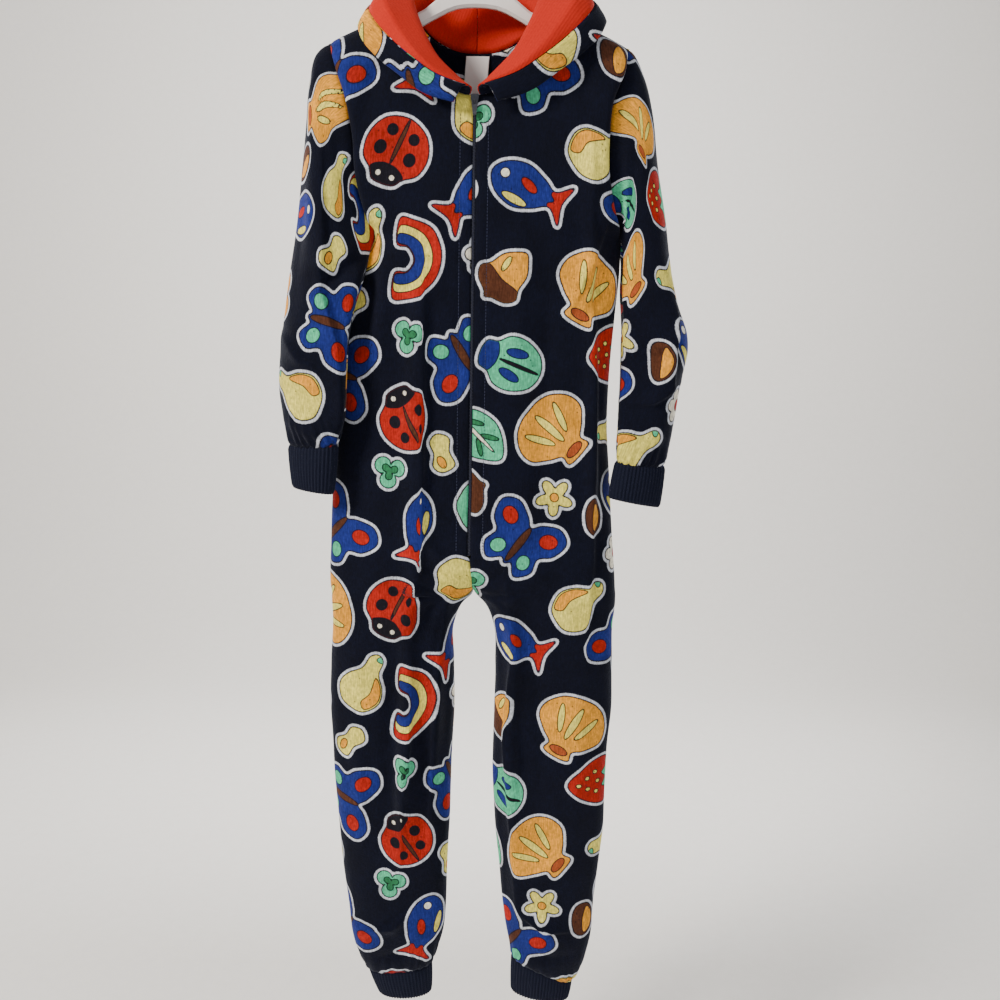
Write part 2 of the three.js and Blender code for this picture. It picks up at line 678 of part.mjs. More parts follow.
// The hook: up from the arms, round over the top and down to a free end
function hangerHook() {
  const centreZ = HOOK_WIRE - HOOK_RADIUS;
  const points = [new THREE.Vector3(0, 0, HOOK_STEM.bottomZ), new THREE.Vector3(0, 0, HOOK_STEM.topZ)];
  for (let degrees = HOOK_TURN.start; degrees <= HOOK_TURN.end; degrees += HOOK_TURN.step) {
    const angle = THREE.MathUtils.degToRad(degrees);
    points.push(new THREE.Vector3(HOOK_RADIUS * Math.cos(angle), 0, centreZ + HOOK_RADIUS * Math.sin(angle)));
  }
  const section = new THREE.Shape();
  section.absarc(0, 0, HOOK_WIRE, 0, 2 * Math.PI, false);
  const extrudePath = new THREE.CatmullRomCurve3(points, false, "centripetal");
  const steps = 26;
  return new THREE.ExtrudeGeometry(section, { steps, curveSegments: 5, extrudePath, bevelEnabled: false });
}

function hanger() {
  const whole = toManifold(hangerArms()).add(toManifold(hangerHook()));
  return solid(fromManifold(whole), hangerPlastic, "hanger");
}

// The zip and the label

// The front's depth on the centre line
const frontDepth = (z) => {
  const legness = read(LEGNESS, "value", z);
  return read(BODY, "front", z) * Math.pow(1 - Math.pow(legness, SIDE_ROUND_POWER), 1 / SIDE_ROUND_POWER);
};

// A strip along the closed front, between two depths behind the cloth's face
function zipStrip(halfWidth, near, far, topZ, material, name) {
  const steps = 14;
  const layer = (behind) => {
    const grid = [];
    for (let i = 0; i <= steps; i++) {
      const z = THREE.MathUtils.lerp(topZ, ZIP_END_Z, i / steps);
      grid.push([-halfWidth, 0, halfWidth].map((x) => new THREE.Vector3(x, -frontDepth(z) + behind, z)));
    }
    return grid;
  };
  return solid(wall(layer(near), layer(far)), material, name);
}

const PLATE_FRONT_Y = -frontDepth(ZIP_TOP_Z) - SLIDER.raised - SLIDER.thick;
const PULL_HINGE_Y = PLATE_FRONT_Y - PULL.thick / 2 - PULL_CLEARANCE;
const PULL_HINGE = new THREE.Vector3(0, PULL_HINGE_Y, SLIDER.topZ - PULL_DROP);

// The slider: a pear-shaped plate over the coil, with a bail that the pull tab's eye is threaded on
function zipSlider() {
  const { width, length, top, topZ, thick } = SLIDER;
  const shape = new THREE.Shape();
  shape.moveTo(-width / 2, 0);
  shape.quadraticCurveTo(-width / 2, top, -width / 3, top);
  shape.lineTo(width / 3, top);
  shape.quadraticCurveTo(width / 2, top, width / 2, 0);
  shape.lineTo(width / 3, top - length);
  shape.lineTo(-width / 3, top - length);
  shape.closePath();
  const plate = new THREE.ExtrudeGeometry(shape, { depth: thick, bevelEnabled: false, curveSegments: 4 });
  plate.rotateX(Math.PI / 2);
  plate.translate(0, PLATE_FRONT_Y + thick, topZ);
  const bar = (yNear, yFar, zLow, zHigh) =>
    new THREE.BoxGeometry(BAIL.width, yNear - yFar, zHigh - zLow).translate(
      0, (yNear + yFar) / 2, PULL_HINGE.z + (zLow + zHigh) / 2,
    );
  const half = BAIL.bar / 2;
  const frontY = PULL_HINGE.y - BAIL.front;
  const pieces = [
    bar(PLATE_FRONT_Y + half, frontY, BAIL.above - half, BAIL.above + half),
    bar(PLATE_FRONT_Y + half, frontY, BAIL.below - half, BAIL.below + half),
    bar(frontY + BAIL.bar, frontY, BAIL.below - half, BAIL.above + half),
  ];
  const whole = pieces.reduce((sum, piece) => sum.add(toManifold(piece)), toManifold(plate));
  return solid(fromManifold(whole), darkMetal, "zip_slider");
}

// The pull tab hangs by its eye from the slider's bail, and turns about the bar at its top
function zipPull() {
  const { width, length, thick, shoulder, eyeHalf, eyeTop, eyeEnd, tip } = PULL;
  const widest = eyeEnd - shoulder;
  const corner = width / 2 - shoulder;
  const shape = new THREE.Shape();
  shape.moveTo(-width / 2, widest);
  shape.lineTo(-corner, -eyeTop - shoulder);
  shape.lineTo(-eyeHalf, -eyeTop);
  shape.lineTo(eyeHalf, -eyeTop);
  shape.lineTo(corner, -eyeTop - shoulder);
  shape.lineTo(width / 2, widest);
  shape.lineTo(tip / 2, -length + tip / 2);
  shape.absarc(0, -length + tip / 2, tip / 2, 0, -Math.PI, true);
  shape.closePath();
  const eye = new THREE.Path();
  eye.moveTo(-eyeHalf, eyeEnd);
  eye.lineTo(eyeHalf, eyeEnd);
  eye.lineTo(eyeHalf, eyeTop);
  eye.lineTo(-eyeHalf, eyeTop);
  eye.closePath();
  shape.holes.push(eye);
  const geometry = new THREE.ExtrudeGeometry(shape, { depth: thick, bevelEnabled: false, curveSegments: 6 });
  geometry.rotateX(Math.PI / 2);
  geometry.translate(0, thick / 2, 0);
  const mesh = solid(geometry, darkMetal, "zip_pull");
  mesh.position.copy(PULL_HINGE);
  return mesh;
}

// The label hangs inside the back neck, with a slight curl
function neckLabel() {
  const topZ = BACK_NECK_Z - LABEL.below;
  const grid = [];
  for (let i = 0; i <= 5; i++) {
    const t = i / 5;
    const row = [];
    for (let j = 0; j <= 3; j++) {
      const x = THREE.MathUtils.lerp(LABEL.left, LABEL.right, j / 3) + LABEL.lean * t;
      const z = topZ - LABEL.length * t;
      const inside = read(BODY, "back", z) - FLEECE - LABEL.gap;
      row.push(new THREE.Vector3(x, inside - LABEL.curl * Math.sin(0.6 * Math.PI * t), z));
    }
    grid.push(row);
  }
  const behind = grid.map((row) => row.map((p) => p.clone().setY(p.y + LABEL.thick)));
  return solid(wall(grid, behind), satin, "neck_label");
}

// The garment on its hanger

const pajama = new THREE.Group();
pajama.add(
  panel(-1, -1, "front_right"),
  panel(1, -1, "front_left"),
  panel(-1, 1, "back_right"),
  panel(1, 1, "back_left"),
  sleeve("right", "sleeve_right"),
  sleeve("left", "sleeve_left"),
  wristCuff("right", "wrist_cuff_right"),
  wristCuff("left", "wrist_cuff_left"),
  ankleCuff("right", "ankle_cuff_right"),
  ankleCuff("left", "ankle_cuff_left"),
  ...hoodPieces(-1, "right"),
  ...hoodPieces(1, "left"),
  zipStrip(12, FLEECE + 0.7, FLEECE + 1.5, ZIP_TOP_Z - 1, zipCoil, "zip_tape"),
  zipStrip(1.2, 0.3, FLEECE + 0.2, ZIP_TOP_Z - 1, zipCoil, "zip_coil"),
  zipSlider(),
  zipPull(),
  neckLabel(),
  hanger(),
);

export default pajama;
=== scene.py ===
# %% [markdown]
# # A child's fleece onesie on its hanger
# The garment is a hooded one-piece pajama of plush polyester fleece with an all-over sticker print.
# It has a red jersey lining in the hood, rib knit cuffs at wrists and ankles, and a long front zip.
# The construction model gives each piece's place and its large folds as a coarse thin wall.
# Here every piece of cloth is made again as a finer shell on that same form.

import math

import bpy
import numpy as np
from mathutils import Matrix, Vector
from mathutils.bvhtree import BVHTree
from mathutils.kdtree import KDTree


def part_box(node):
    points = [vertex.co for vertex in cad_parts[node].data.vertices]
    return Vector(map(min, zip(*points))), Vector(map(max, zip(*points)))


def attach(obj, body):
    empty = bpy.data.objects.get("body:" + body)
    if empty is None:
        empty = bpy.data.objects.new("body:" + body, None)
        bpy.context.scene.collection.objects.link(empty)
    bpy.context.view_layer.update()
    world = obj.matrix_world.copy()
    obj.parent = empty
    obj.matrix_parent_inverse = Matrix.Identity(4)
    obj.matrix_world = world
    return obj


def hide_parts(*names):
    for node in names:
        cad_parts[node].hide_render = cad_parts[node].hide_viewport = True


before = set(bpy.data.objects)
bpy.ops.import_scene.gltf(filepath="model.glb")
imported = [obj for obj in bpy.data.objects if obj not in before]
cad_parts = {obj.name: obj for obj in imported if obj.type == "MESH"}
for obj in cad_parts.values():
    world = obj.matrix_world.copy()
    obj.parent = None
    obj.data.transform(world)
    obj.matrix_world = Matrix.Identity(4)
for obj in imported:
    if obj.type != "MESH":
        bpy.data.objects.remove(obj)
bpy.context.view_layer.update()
MM = 0.001

# %% [markdown]
# The camera stands about a metre away and looks down by ten degrees, as a phone held at chest height does.
# It is turned by one degree, because such a picture is seldom held quite level.
# Its place comes from the picture's own slant lines, so the garment's outline falls where it should.

# %% Camera
CAMERA_PLACE = (0.0295, -1.0, -0.3761)
CAMERA_DOWN = 9.8
CAMERA_ROLL = 1.0
camera_data = bpy.data.cameras.new("camera")
camera_data.sensor_width = 36
camera_data.lens = 36
camera = bpy.data.objects.new("camera", camera_data)
bpy.context.collection.objects.link(camera)
camera.matrix_world = (
    Matrix.Translation(CAMERA_PLACE)
    @ Matrix.Rotation(math.radians(90 - CAMERA_DOWN), 4, "X")
    @ Matrix.Rotation(math.radians(CAMERA_ROLL), 4, "Z")
)
bpy.context.scene.camera = camera
print("camera: 36 mm lens,", CAMERA_DOWN, "degrees down")

# %% [markdown]
# Materials are networks of nodes. Two small helpers keep them short to read.
# The first turns a colour as a paint program shows it into the linear light that the renderer counts in.
# The second adds one node, sets its values and joins its inputs.


# %% Helpers for colours and nodes
def linear(hex_colour):
    """An sRGB hex colour as linear RGBA."""
    channels = [int(hex_colour[i : i + 2], 16) / 255 for i in (1, 3, 5)]
    bent = [c / 12.92 if c <= 0.04045 else ((c + 0.055) / 1.055) ** 2.4 for c in channels]
    return (*bent, 1.0)


def add_node(tree, kind, settings=None, **inputs):
    """Adds a node. settings are its properties, and inputs are values or other nodes' sockets."""
    made = tree.nodes.new(kind)
    for key, value in (settings or {}).items():
        setattr(made, key, value)
    for key, value in inputs.items():
        socket = made.inputs[int(key[1:])] if key[0] == "_" else made.inputs[key.replace("_", " ")]
        if isinstance(value, bpy.types.NodeSocket):
            tree.links.new(value, socket)
        else:
            socket.default_value = value
    return made


def new_material(name):
    """An empty material with its node tree and output."""
    made = bpy.data.materials.new(name)
    made.use_nodes = True
    made.node_tree.nodes.clear()
    return made, made.node_tree


def finish_material(tree, **shader_values):
    """Ends a network in the usual surface shader."""
    shader = add_node(tree, "ShaderNodeBsdfPrincipled", **shader_values)
    add_node(tree, "ShaderNodeOutputMaterial", Surface=shader.outputs[0])


# %% Helpers for what the materials share
WAVE_TURN = 6.283


def on_cloth(tree):
    """The place on the flat cloth."""
    return add_node(tree, "ShaderNodeUVMap", {"uv_map": "Cloth"}).outputs[0]


def on_object(tree):
    """The place on the object itself."""
    return add_node(tree, "ShaderNodeTexCoord").outputs["Object"]


def noise(tree, places, size, **more):
    """Soft clouds of about one size."""
    return add_node(tree, "ShaderNodeTexNoise", Vector=places, Scale=1 / size, **more).outputs[0]


def waves(tree, direction, places, pitch, **more):
    """Even lines, one pitch apart. The wave texture counts its scale in parts of a turn."""
    scale = 1 / pitch / WAVE_TURN
    settings = {"bands_direction": direction}
    return add_node(tree, "ShaderNodeTexWave", settings, Vector=places, Scale=scale, **more).outputs[1]


def spread(tree, value, low, high, least, most):
    """Carries a value that runs from low to high over to the range from least to most."""
    return add_node(tree, "ShaderNodeMapRange", _0=value, _1=low, _2=high, _3=least, _4=most).outputs[0]


def mixed(tree, amount, under, top):
    """The top colour laid over the other by an amount."""
    return add_node(tree, "ShaderNodeMix", {"data_type": "RGBA"}, _0=amount, _6=under, _7=top).outputs[2]


def two_tone(tree, amount, under, top):
    """The same for two hex colours."""
    return mixed(tree, amount, linear(under), linear(top))


def bump(tree, height, strength, distance):
    """A fine relief."""
    return add_node(tree, "ShaderNodeBump", Strength=strength, Distance=distance, Height=height).outputs[0]


# %% [markdown]
# Every mesh of this scene is made from points and faces by the first of these helpers.
# Most are grids, so the others give a grid's faces and find which point each face's corner lies on.


# %% Helpers for meshes
def new_object(name, points, faces):
    """A smooth mesh in the scene."""
    mesh = bpy.data.meshes.new(name)
    mesh.from_pydata(points, [], faces)
    mesh.polygons.foreach_set("use_smooth", [True] * len(faces))
    made = bpy.data.objects.new(name, mesh)
    bpy.context.collection.objects.link(made)
    return made


def quads_of(at):
    """The faces between a grid's points, from the points' numbers."""
    return np.stack([at[:-1, :-1], at[1:, :-1], at[1:, 1:], at[:-1, 1:]], 2).reshape(-1, 4)


def point_at_corners(mesh):
    """The number of the point that each face's corner lies on."""
    corner = np.empty(len(mesh.loops), int)
    mesh.loops.foreach_get("vertex_index", corner)
    return corner


# %% [markdown]
# Each piece of cloth in the construction model is a closed wall: one grid of points on its face,
# the same grid moved in by the cloth's thickness, and a narrow rim round the edge.
# To make a finer shell, the grid is read back out of the wall's triangles.
# Each point on the face has a partner on the other side, one thickness away and straight behind it.
# Only the rim's triangles have an edge that joins two partners, so without them the two faces come apart.
# The face's triangles are then followed row by row, starting from one corner.


# %% Read the face of a wall back as rows of points
def welded(node):
    """A node's points with doubles merged, and its triangles."""
    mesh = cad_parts[node].data
    mesh.calc_loop_triangles()
    places = np.empty(3 * len(mesh.vertices))
    mesh.vertices.foreach_get("co", places)
    corners = np.empty(3 * len(mesh.loop_triangles), int)
    mesh.loop_triangles.foreach_get("vertices", corners)
    points, index = np.unique(np.round(places.reshape(-1, 3), 6), axis=0, return_inverse=True)
    return points, index.ravel()[corners].reshape(-1, 3)


def point_normals(points, triangles):
    """The unit normals of points, from the triangles round each one."""
    a, b, c = (points[triangles[:, k]] for k in range(3))
    of_triangle = np.cross(b - a, c - a)
    normals = np.zeros_like(points)
    for k in range(3):
        np.add.at(normals, triangles[:, k], of_triangle)
    return normals / np.linalg.norm(normals, axis=1, keepdims=True)


NEIGHBOURS = 9
WEIGHTS = ((0.1, 0.1), (0.5, 0.3))


def partners(points, triangles, thickness, for_slant, for_turn):
    """For each point, the one straight behind it on the wall's other side."""
    normals = point_normals(points, triangles)
    tree = KDTree(len(points))
    for k, point in enumerate(points):
        tree.insert(point, k)
    tree.balance()
    pairs = []
    for i, point in enumerate(points):
        for _place, j, away in tree.find_n(point, NEIGHBOURS):
            if j > i:
                straight = (points[j] - point) / away
                slant = 2 - abs(straight @ normals[i]) - abs(straight @ normals[j])
                turned = 1 + normals[i] @ normals[j]
                score = abs(away - thickness) / thickness + for_slant * slant + for_turn * turned
                pairs.append((score, i, j))
    partner = np.full(len(points), -1)
    for _score, i, j in sorted(pairs):
        if partner[i] < 0 and partner[j] < 0:
            partner[i], partner[j] = j, i
    return partner


def joined_groups(triangles, count):
    """Splits triangles into groups that share points."""
    group = np.arange(count)
    while True:
        lowest = group[triangles].min(axis=1)
        after = group.copy()
        for k in range(3):
            np.minimum.at(after, triangles[:, k], lowest)
        if (after == group).all():
            break
        group = after
    labels = group[triangles[:, 0]]
    return [triangles[labels == name] for name in np.unique(labels)]


def wall_faces(points, triangles, thickness):
    """The two faces of a thin wall as lists of triangles, without the rim."""
    for weights in WEIGHTS:
        partner = partners(points, triangles, thickness, *weights)
        rim = np.zeros(len(triangles), bool)
        for k in range(3):
            rim |= partner[triangles[:, k]] == triangles[:, k - 1]
        groups = joined_groups(triangles[~rim], len(points))
        if len(groups) == 2:
            return groups
    raise ValueError("a wall's two faces didn't come apart")


def boundary_walk(border, start, second, stops):
    """Follows border edges from start by way of second to the next stop."""
    path = [start, second]
    while path[-1] not in stops:
        path.append(next(v for v in border[path[-1]] if v != path[-2]))
    return path


def rows_of(points, triangles, start, row_end, closed):
    """A triangulated grid's points as an array of rows and columns, from the corner nearest to start."""
    apexes = {}
    for face in triangles.tolist():
        for k in range(3):
            apexes.setdefault(frozenset((face[k], face[k - 1])), []).append(face[k - 2])
    border = {}
    for edge, tips in apexes.items():
        if len(tips) == 1:
            a, b = edge
            border.setdefault(a, []).append(b)
            border.setdefault(b, []).append(a)
    nearest = lambda choices, place: min(choices, key=lambda v: np.linalg.norm(points[v] - place))
    if closed:
        first = nearest(border, start)
        row = boundary_walk(border, first, border[first][0], {first})[:-1]
    else:
        uses = np.bincount(triangles.ravel(), minlength=len(points))
        corners = {v for v in border if uses[v] < 3}
        first = nearest([v for v in corners if uses[v] == 2], start)
        paths = [boundary_walk(border, first, second, corners) for second in border[first]]
        row = min(paths, key=lambda path: np.linalg.norm(points[path[-1]] - row_end))
    rows = [row]
    while True:
        before = set(rows[-2]) if len(rows) > 1 else set()
        pairs = list(zip(row, row[1:] + (row[:1] if closed else [])))
        tips = [[v for v in apexes[frozenset(pair)] if v not in before] for pair in pairs]
        if not all(tips):
            break
        tips = [tip[0] for tip in tips]
        if closed:
            ahead = np.linalg.norm(points[tips] - points[row[1:] + row[:1]], axis=1).sum()
            level = np.linalg.norm(points[tips] - points[row], axis=1).sum()
            row = tips[-1:] + tips[:-1] if ahead < level else tips
        else:
            side = next(v for v in apexes[frozenset((row[0], tips[0]))] if v != row[1])
            row = [side] + tips
        rows.append(row)
    return points[np.array(rows)]


def cad_grid(node, thickness, start, row_end=(0, 0, 0), closed=False, away_from=None):
    """The outer face of a wall as a grid of points, and the side that it faces as 1 or -1."""
    points, triangles = welded(node)
    faces = wall_faces(points, triangles, thickness)
    if away_from:
        other = BVHTree.FromPolygons(*(part.tolist() for part in welded(away_from)))
        gap = lambda face: np.mean([other.find_nearest(Vector(p))[3] for p in points[np.unique(face)]])
        outer = max(faces, key=gap)
    else:
        area = lambda f: np.linalg.norm(
            np.cross(points[f[:, 1]] - points[f[:, 0]], points[f[:, 2]] - points[f[:, 0]]), axis=1
        ).sum()
        outer = max(faces, key=area)
    grid = rows_of(points, outer, np.array(start), np.array(row_end), closed)
    tree = BVHTree.FromPolygons(points.tolist(), outer.tolist())
    middle = (grid[:-1, :-1] + grid[1:, 1:]) / 2
    across = grid[1:, :-1] - grid[:-1, 1:]
    along = grid[1:, 1:] - grid[:-1, :-1]
    turned = np.cross(along, across).reshape(-1, 3)
    agree = sum(
        np.dot(tree.find_nearest(Vector(p))[1], n) for p, n in zip(middle.reshape(-1, 3), turned)
    )
    print(f"{node}: {grid.shape[0]} rows of {grid.shape[1]} points")
    return grid, -1 if agree > 0 else 1


# %% [markdown]
# A smooth curve through the coarse points gives as many finer ones as the print needs.
# A cubic curve that passes through every point keeps the garment's measured outline,
# which a subdivision surface would shrink a little.


# %% Finer grids
WRAP = 3
STRIDE = 3


def resample(points, count, closed=False):
    """Even places on a smooth curve through the points, along the first axis."""
    if closed:
        points = np.concatenate([points[-WRAP:], points, points[: WRAP + 1]])
    steps = np.linalg.norm(np.diff(points, axis=0), axis=-1).mean(axis=1)
    knots = np.concatenate([[0], np.cumsum(steps)])
    first, last = (knots[WRAP], knots[-WRAP - 1]) if closed else (0, knots[-1])
    places = np.linspace(first, last, count)
    span = steps[:, None, None]
    slope = np.diff(points, axis=0) / span
    tangent = np.empty_like(points)
    tangent[1:-1] = (slope[:-1] * span[1:] + slope[1:] * span[:-1]) / (span[:-1] + span[1:])
    tangent[0] = 1.5 * slope[0] - 0.5 * tangent[1]
    tangent[-1] = 1.5 * slope[-1] - 0.5 * tangent[-2]
    k = np.clip(np.searchsorted(knots, places, side="right") - 1, 0, len(steps) - 1)
    t = ((places - knots[k]) / steps[k])[:, None, None]
    return (
        points[k] * (1 + 2 * t) * (1 - t) ** 2
        + points[k + 1] * t * t * (3 - 2 * t)
        + span[k] * (tangent[k] * t * (1 - t) ** 2 - tangent[k + 1] * t * t * (1 - t))
    )


def lengths(grid, axis):
    """The distance along a grid's rows or columns from their first points."""
    steps = np.linalg.norm(np.diff(grid, axis=axis), axis=2)
    zero = np.zeros_like(np.take(steps, [0], axis=axis))
    return np.concatenate([zero, np.cumsum(steps, axis=axis)], axis=axis)


def finer(grid, spacing, closed=False):
    """The grid made again with even points, in multiples of the stride that the inner side needs."""
    down = lengths(grid, 0)[-1].mean()
    ring = np.concatenate([grid, grid[:, :1]], axis=1) if closed else grid
    across = lengths(ring, 1)[:, -1].mean()
    counts = [STRIDE * max(2, round(size / spacing / STRIDE)) + 1 for size in (down, across)]
    fine = resample(grid, counts[0])
    return resample(fine.transpose(1, 0, 2), counts[1], closed).transpose(1, 0, 2)


def normals_of(grid, facing):
    """The unit normals of a grid, pointing out of the cloth's face."""
    across = np.gradient(grid, axis=1)
    if np.allclose(grid[:, 0], grid[:, -1]):
        seam = grid[:, 1] - grid[:, -2]
        across[:, 0] = across[:, -1] = seam / 2
    normals = np.cross(np.gradient(grid, axis=0), across) * facing
    return normals / np.maximum(np.linalg.norm(normals, axis=2, keepdims=True), 1e-12)


def cloth_places(grid, level=0.0):
    """Where each point lies on the flat cloth, in metres: across from its middle, and down from a level."""
    across, down = lengths(grid, 1), lengths(grid, 0)
    middle = round(0.5 * (grid.shape[1] - 1))
    reference = round(level * (grid.shape[0] - 1))
    u = across - across[:, middle : middle + 1]
    v = down - down[reference : reference + 1]
    return np.stack([u, v], axis=2)


def places_from_line(grid, line_x, level=0.2):
    """Cloth places on an upright panel: across from an upright line, and down by height.

    Above the level, where the cloth turns over the shoulder, the way down is measured along the cloth.
    """
    across, down = lengths(grid * (1, 1, 0), 1), lengths(grid, 0)
    start = []
    for xs, arc in zip(grid[..., 0], across):
        order = np.argsort(xs)
        start.append(np.interp(line_x, xs[order], arc[order]))
    reference = round(level * (grid.shape[0] - 1))
    v = -grid[..., 2]
    v[:reference] = v[reference] - (down[reference] - down[:reference])
    return np.stack([across - np.array(start)[:, None], v], axis=2)


def reached_under(grid, first=True, closed=False, by=1.2 * MM):
    """Carries a piece's edges on by a seam's width, so that it meets its neighbour under the surface."""
    out = grid.copy()
    ends = [(0, 1), (-1, -2)]
    for edge, inner in ends:
        step = grid[edge] - grid[inner]
        out[edge] += by * step / np.linalg.norm(step, axis=1, keepdims=True)
    if not closed:
        for edge, inner in ends if first else ends[1:]:
            step = grid[:, edge] - grid[:, inner]
            out[:, edge] += by * step / np.linalg.norm(step, axis=1, keepdims=True)
    return out


# %% [markdown]
# The print is a sticker print: each motif has a dark key line and a broad white outline on a navy ground.
# The motifs are plain garden and seaside ones: flowers, leaves, butterflies, beetles, fish, shells and fruit.
# They could be drawn with shader nodes alone, but their outlines would then be limited to a few formulas.
# Instead each motif is a few closed outlines, and each point of the cloth stores its distance to them.
# Distances change evenly between points, so the shader can draw crisp edges from a much coarser mesh.


# %% Outlines of the motifs, in millimetres
def smooth_outline(points, steps=6):
    """A closed smooth curve through a few points."""
    points = np.array(points, float)
    t = np.linspace(0, 1, steps, endpoint=False)[:, None]
    curve = []
    for k in range(len(points)):
        a, b, c, d = (points[(k + j) % len(points)] for j in (-1, 0, 1, 2))
        square = (2 * a - 5 * b + 4 * c - d) * t**2
        cube = (3 * b - a - 3 * c + d) * t**3
        curve.append(0.5 * (2 * b + (c - a) * t + square + cube))
    return np.concatenate(curve)


def oval(x, y, width, height, tilt=0.0, steps=20):
    """An ellipse's outline."""
    angle = np.linspace(0, 2 * np.pi, steps, endpoint=False)
    c, s = math.cos(math.radians(tilt)), math.sin(math.radians(tilt))
    px, py = np.cos(angle) * width / 2, np.sin(angle) * height / 2
    return np.stack([x + px * c - py * s, y + px * s + py * c], 1)


def pair(x, y, width, height, tilt=0.0):
    """An ellipse and its mirror image."""
    return [oval(x, y, width, height, tilt), oval(-x, y, width, height, -tilt)]


def lobed(count, inner, outer, sharpness=1.0, phase=0.0):
    """A round outline with lobes, petals or rays."""
    angle = np.linspace(0, 2 * np.pi, 12 * count, endpoint=False)
    wave = np.abs(np.cos(count * (angle - phase) / 2)) ** sharpness
    radius = inner + (outer - inner) * wave
    return np.stack([radius * np.cos(angle), radius * np.sin(angle)], 1)


def mirrored(points, steps=6):
    """A smooth outline from the points of one half and their mirror images."""
    other_half = [(-x, y) for x, y in reversed(points) if abs(x) > 0.01]
    return smooth_outline([*points, *other_half], steps)


COLOURS = {
    "ground": "#070A1A",
    "white": "#C4C8D2",
    "line": "#15131B",
    "orange": "#DC962E",
    "yellow": "#DCCF62",
    "red": "#A42015",
    "blue": "#1D2870",
    "mint": "#4FB88A",
    "green": "#2A7048",
    "brown": "#4E2C1C",
    "cream": "#E4DECB",
    "rust": "#9A4A26",
}

SEEDS = [(-11, 0), (0, 3), (11, 0), (-6, -10), (6, -10), (0, -20)]
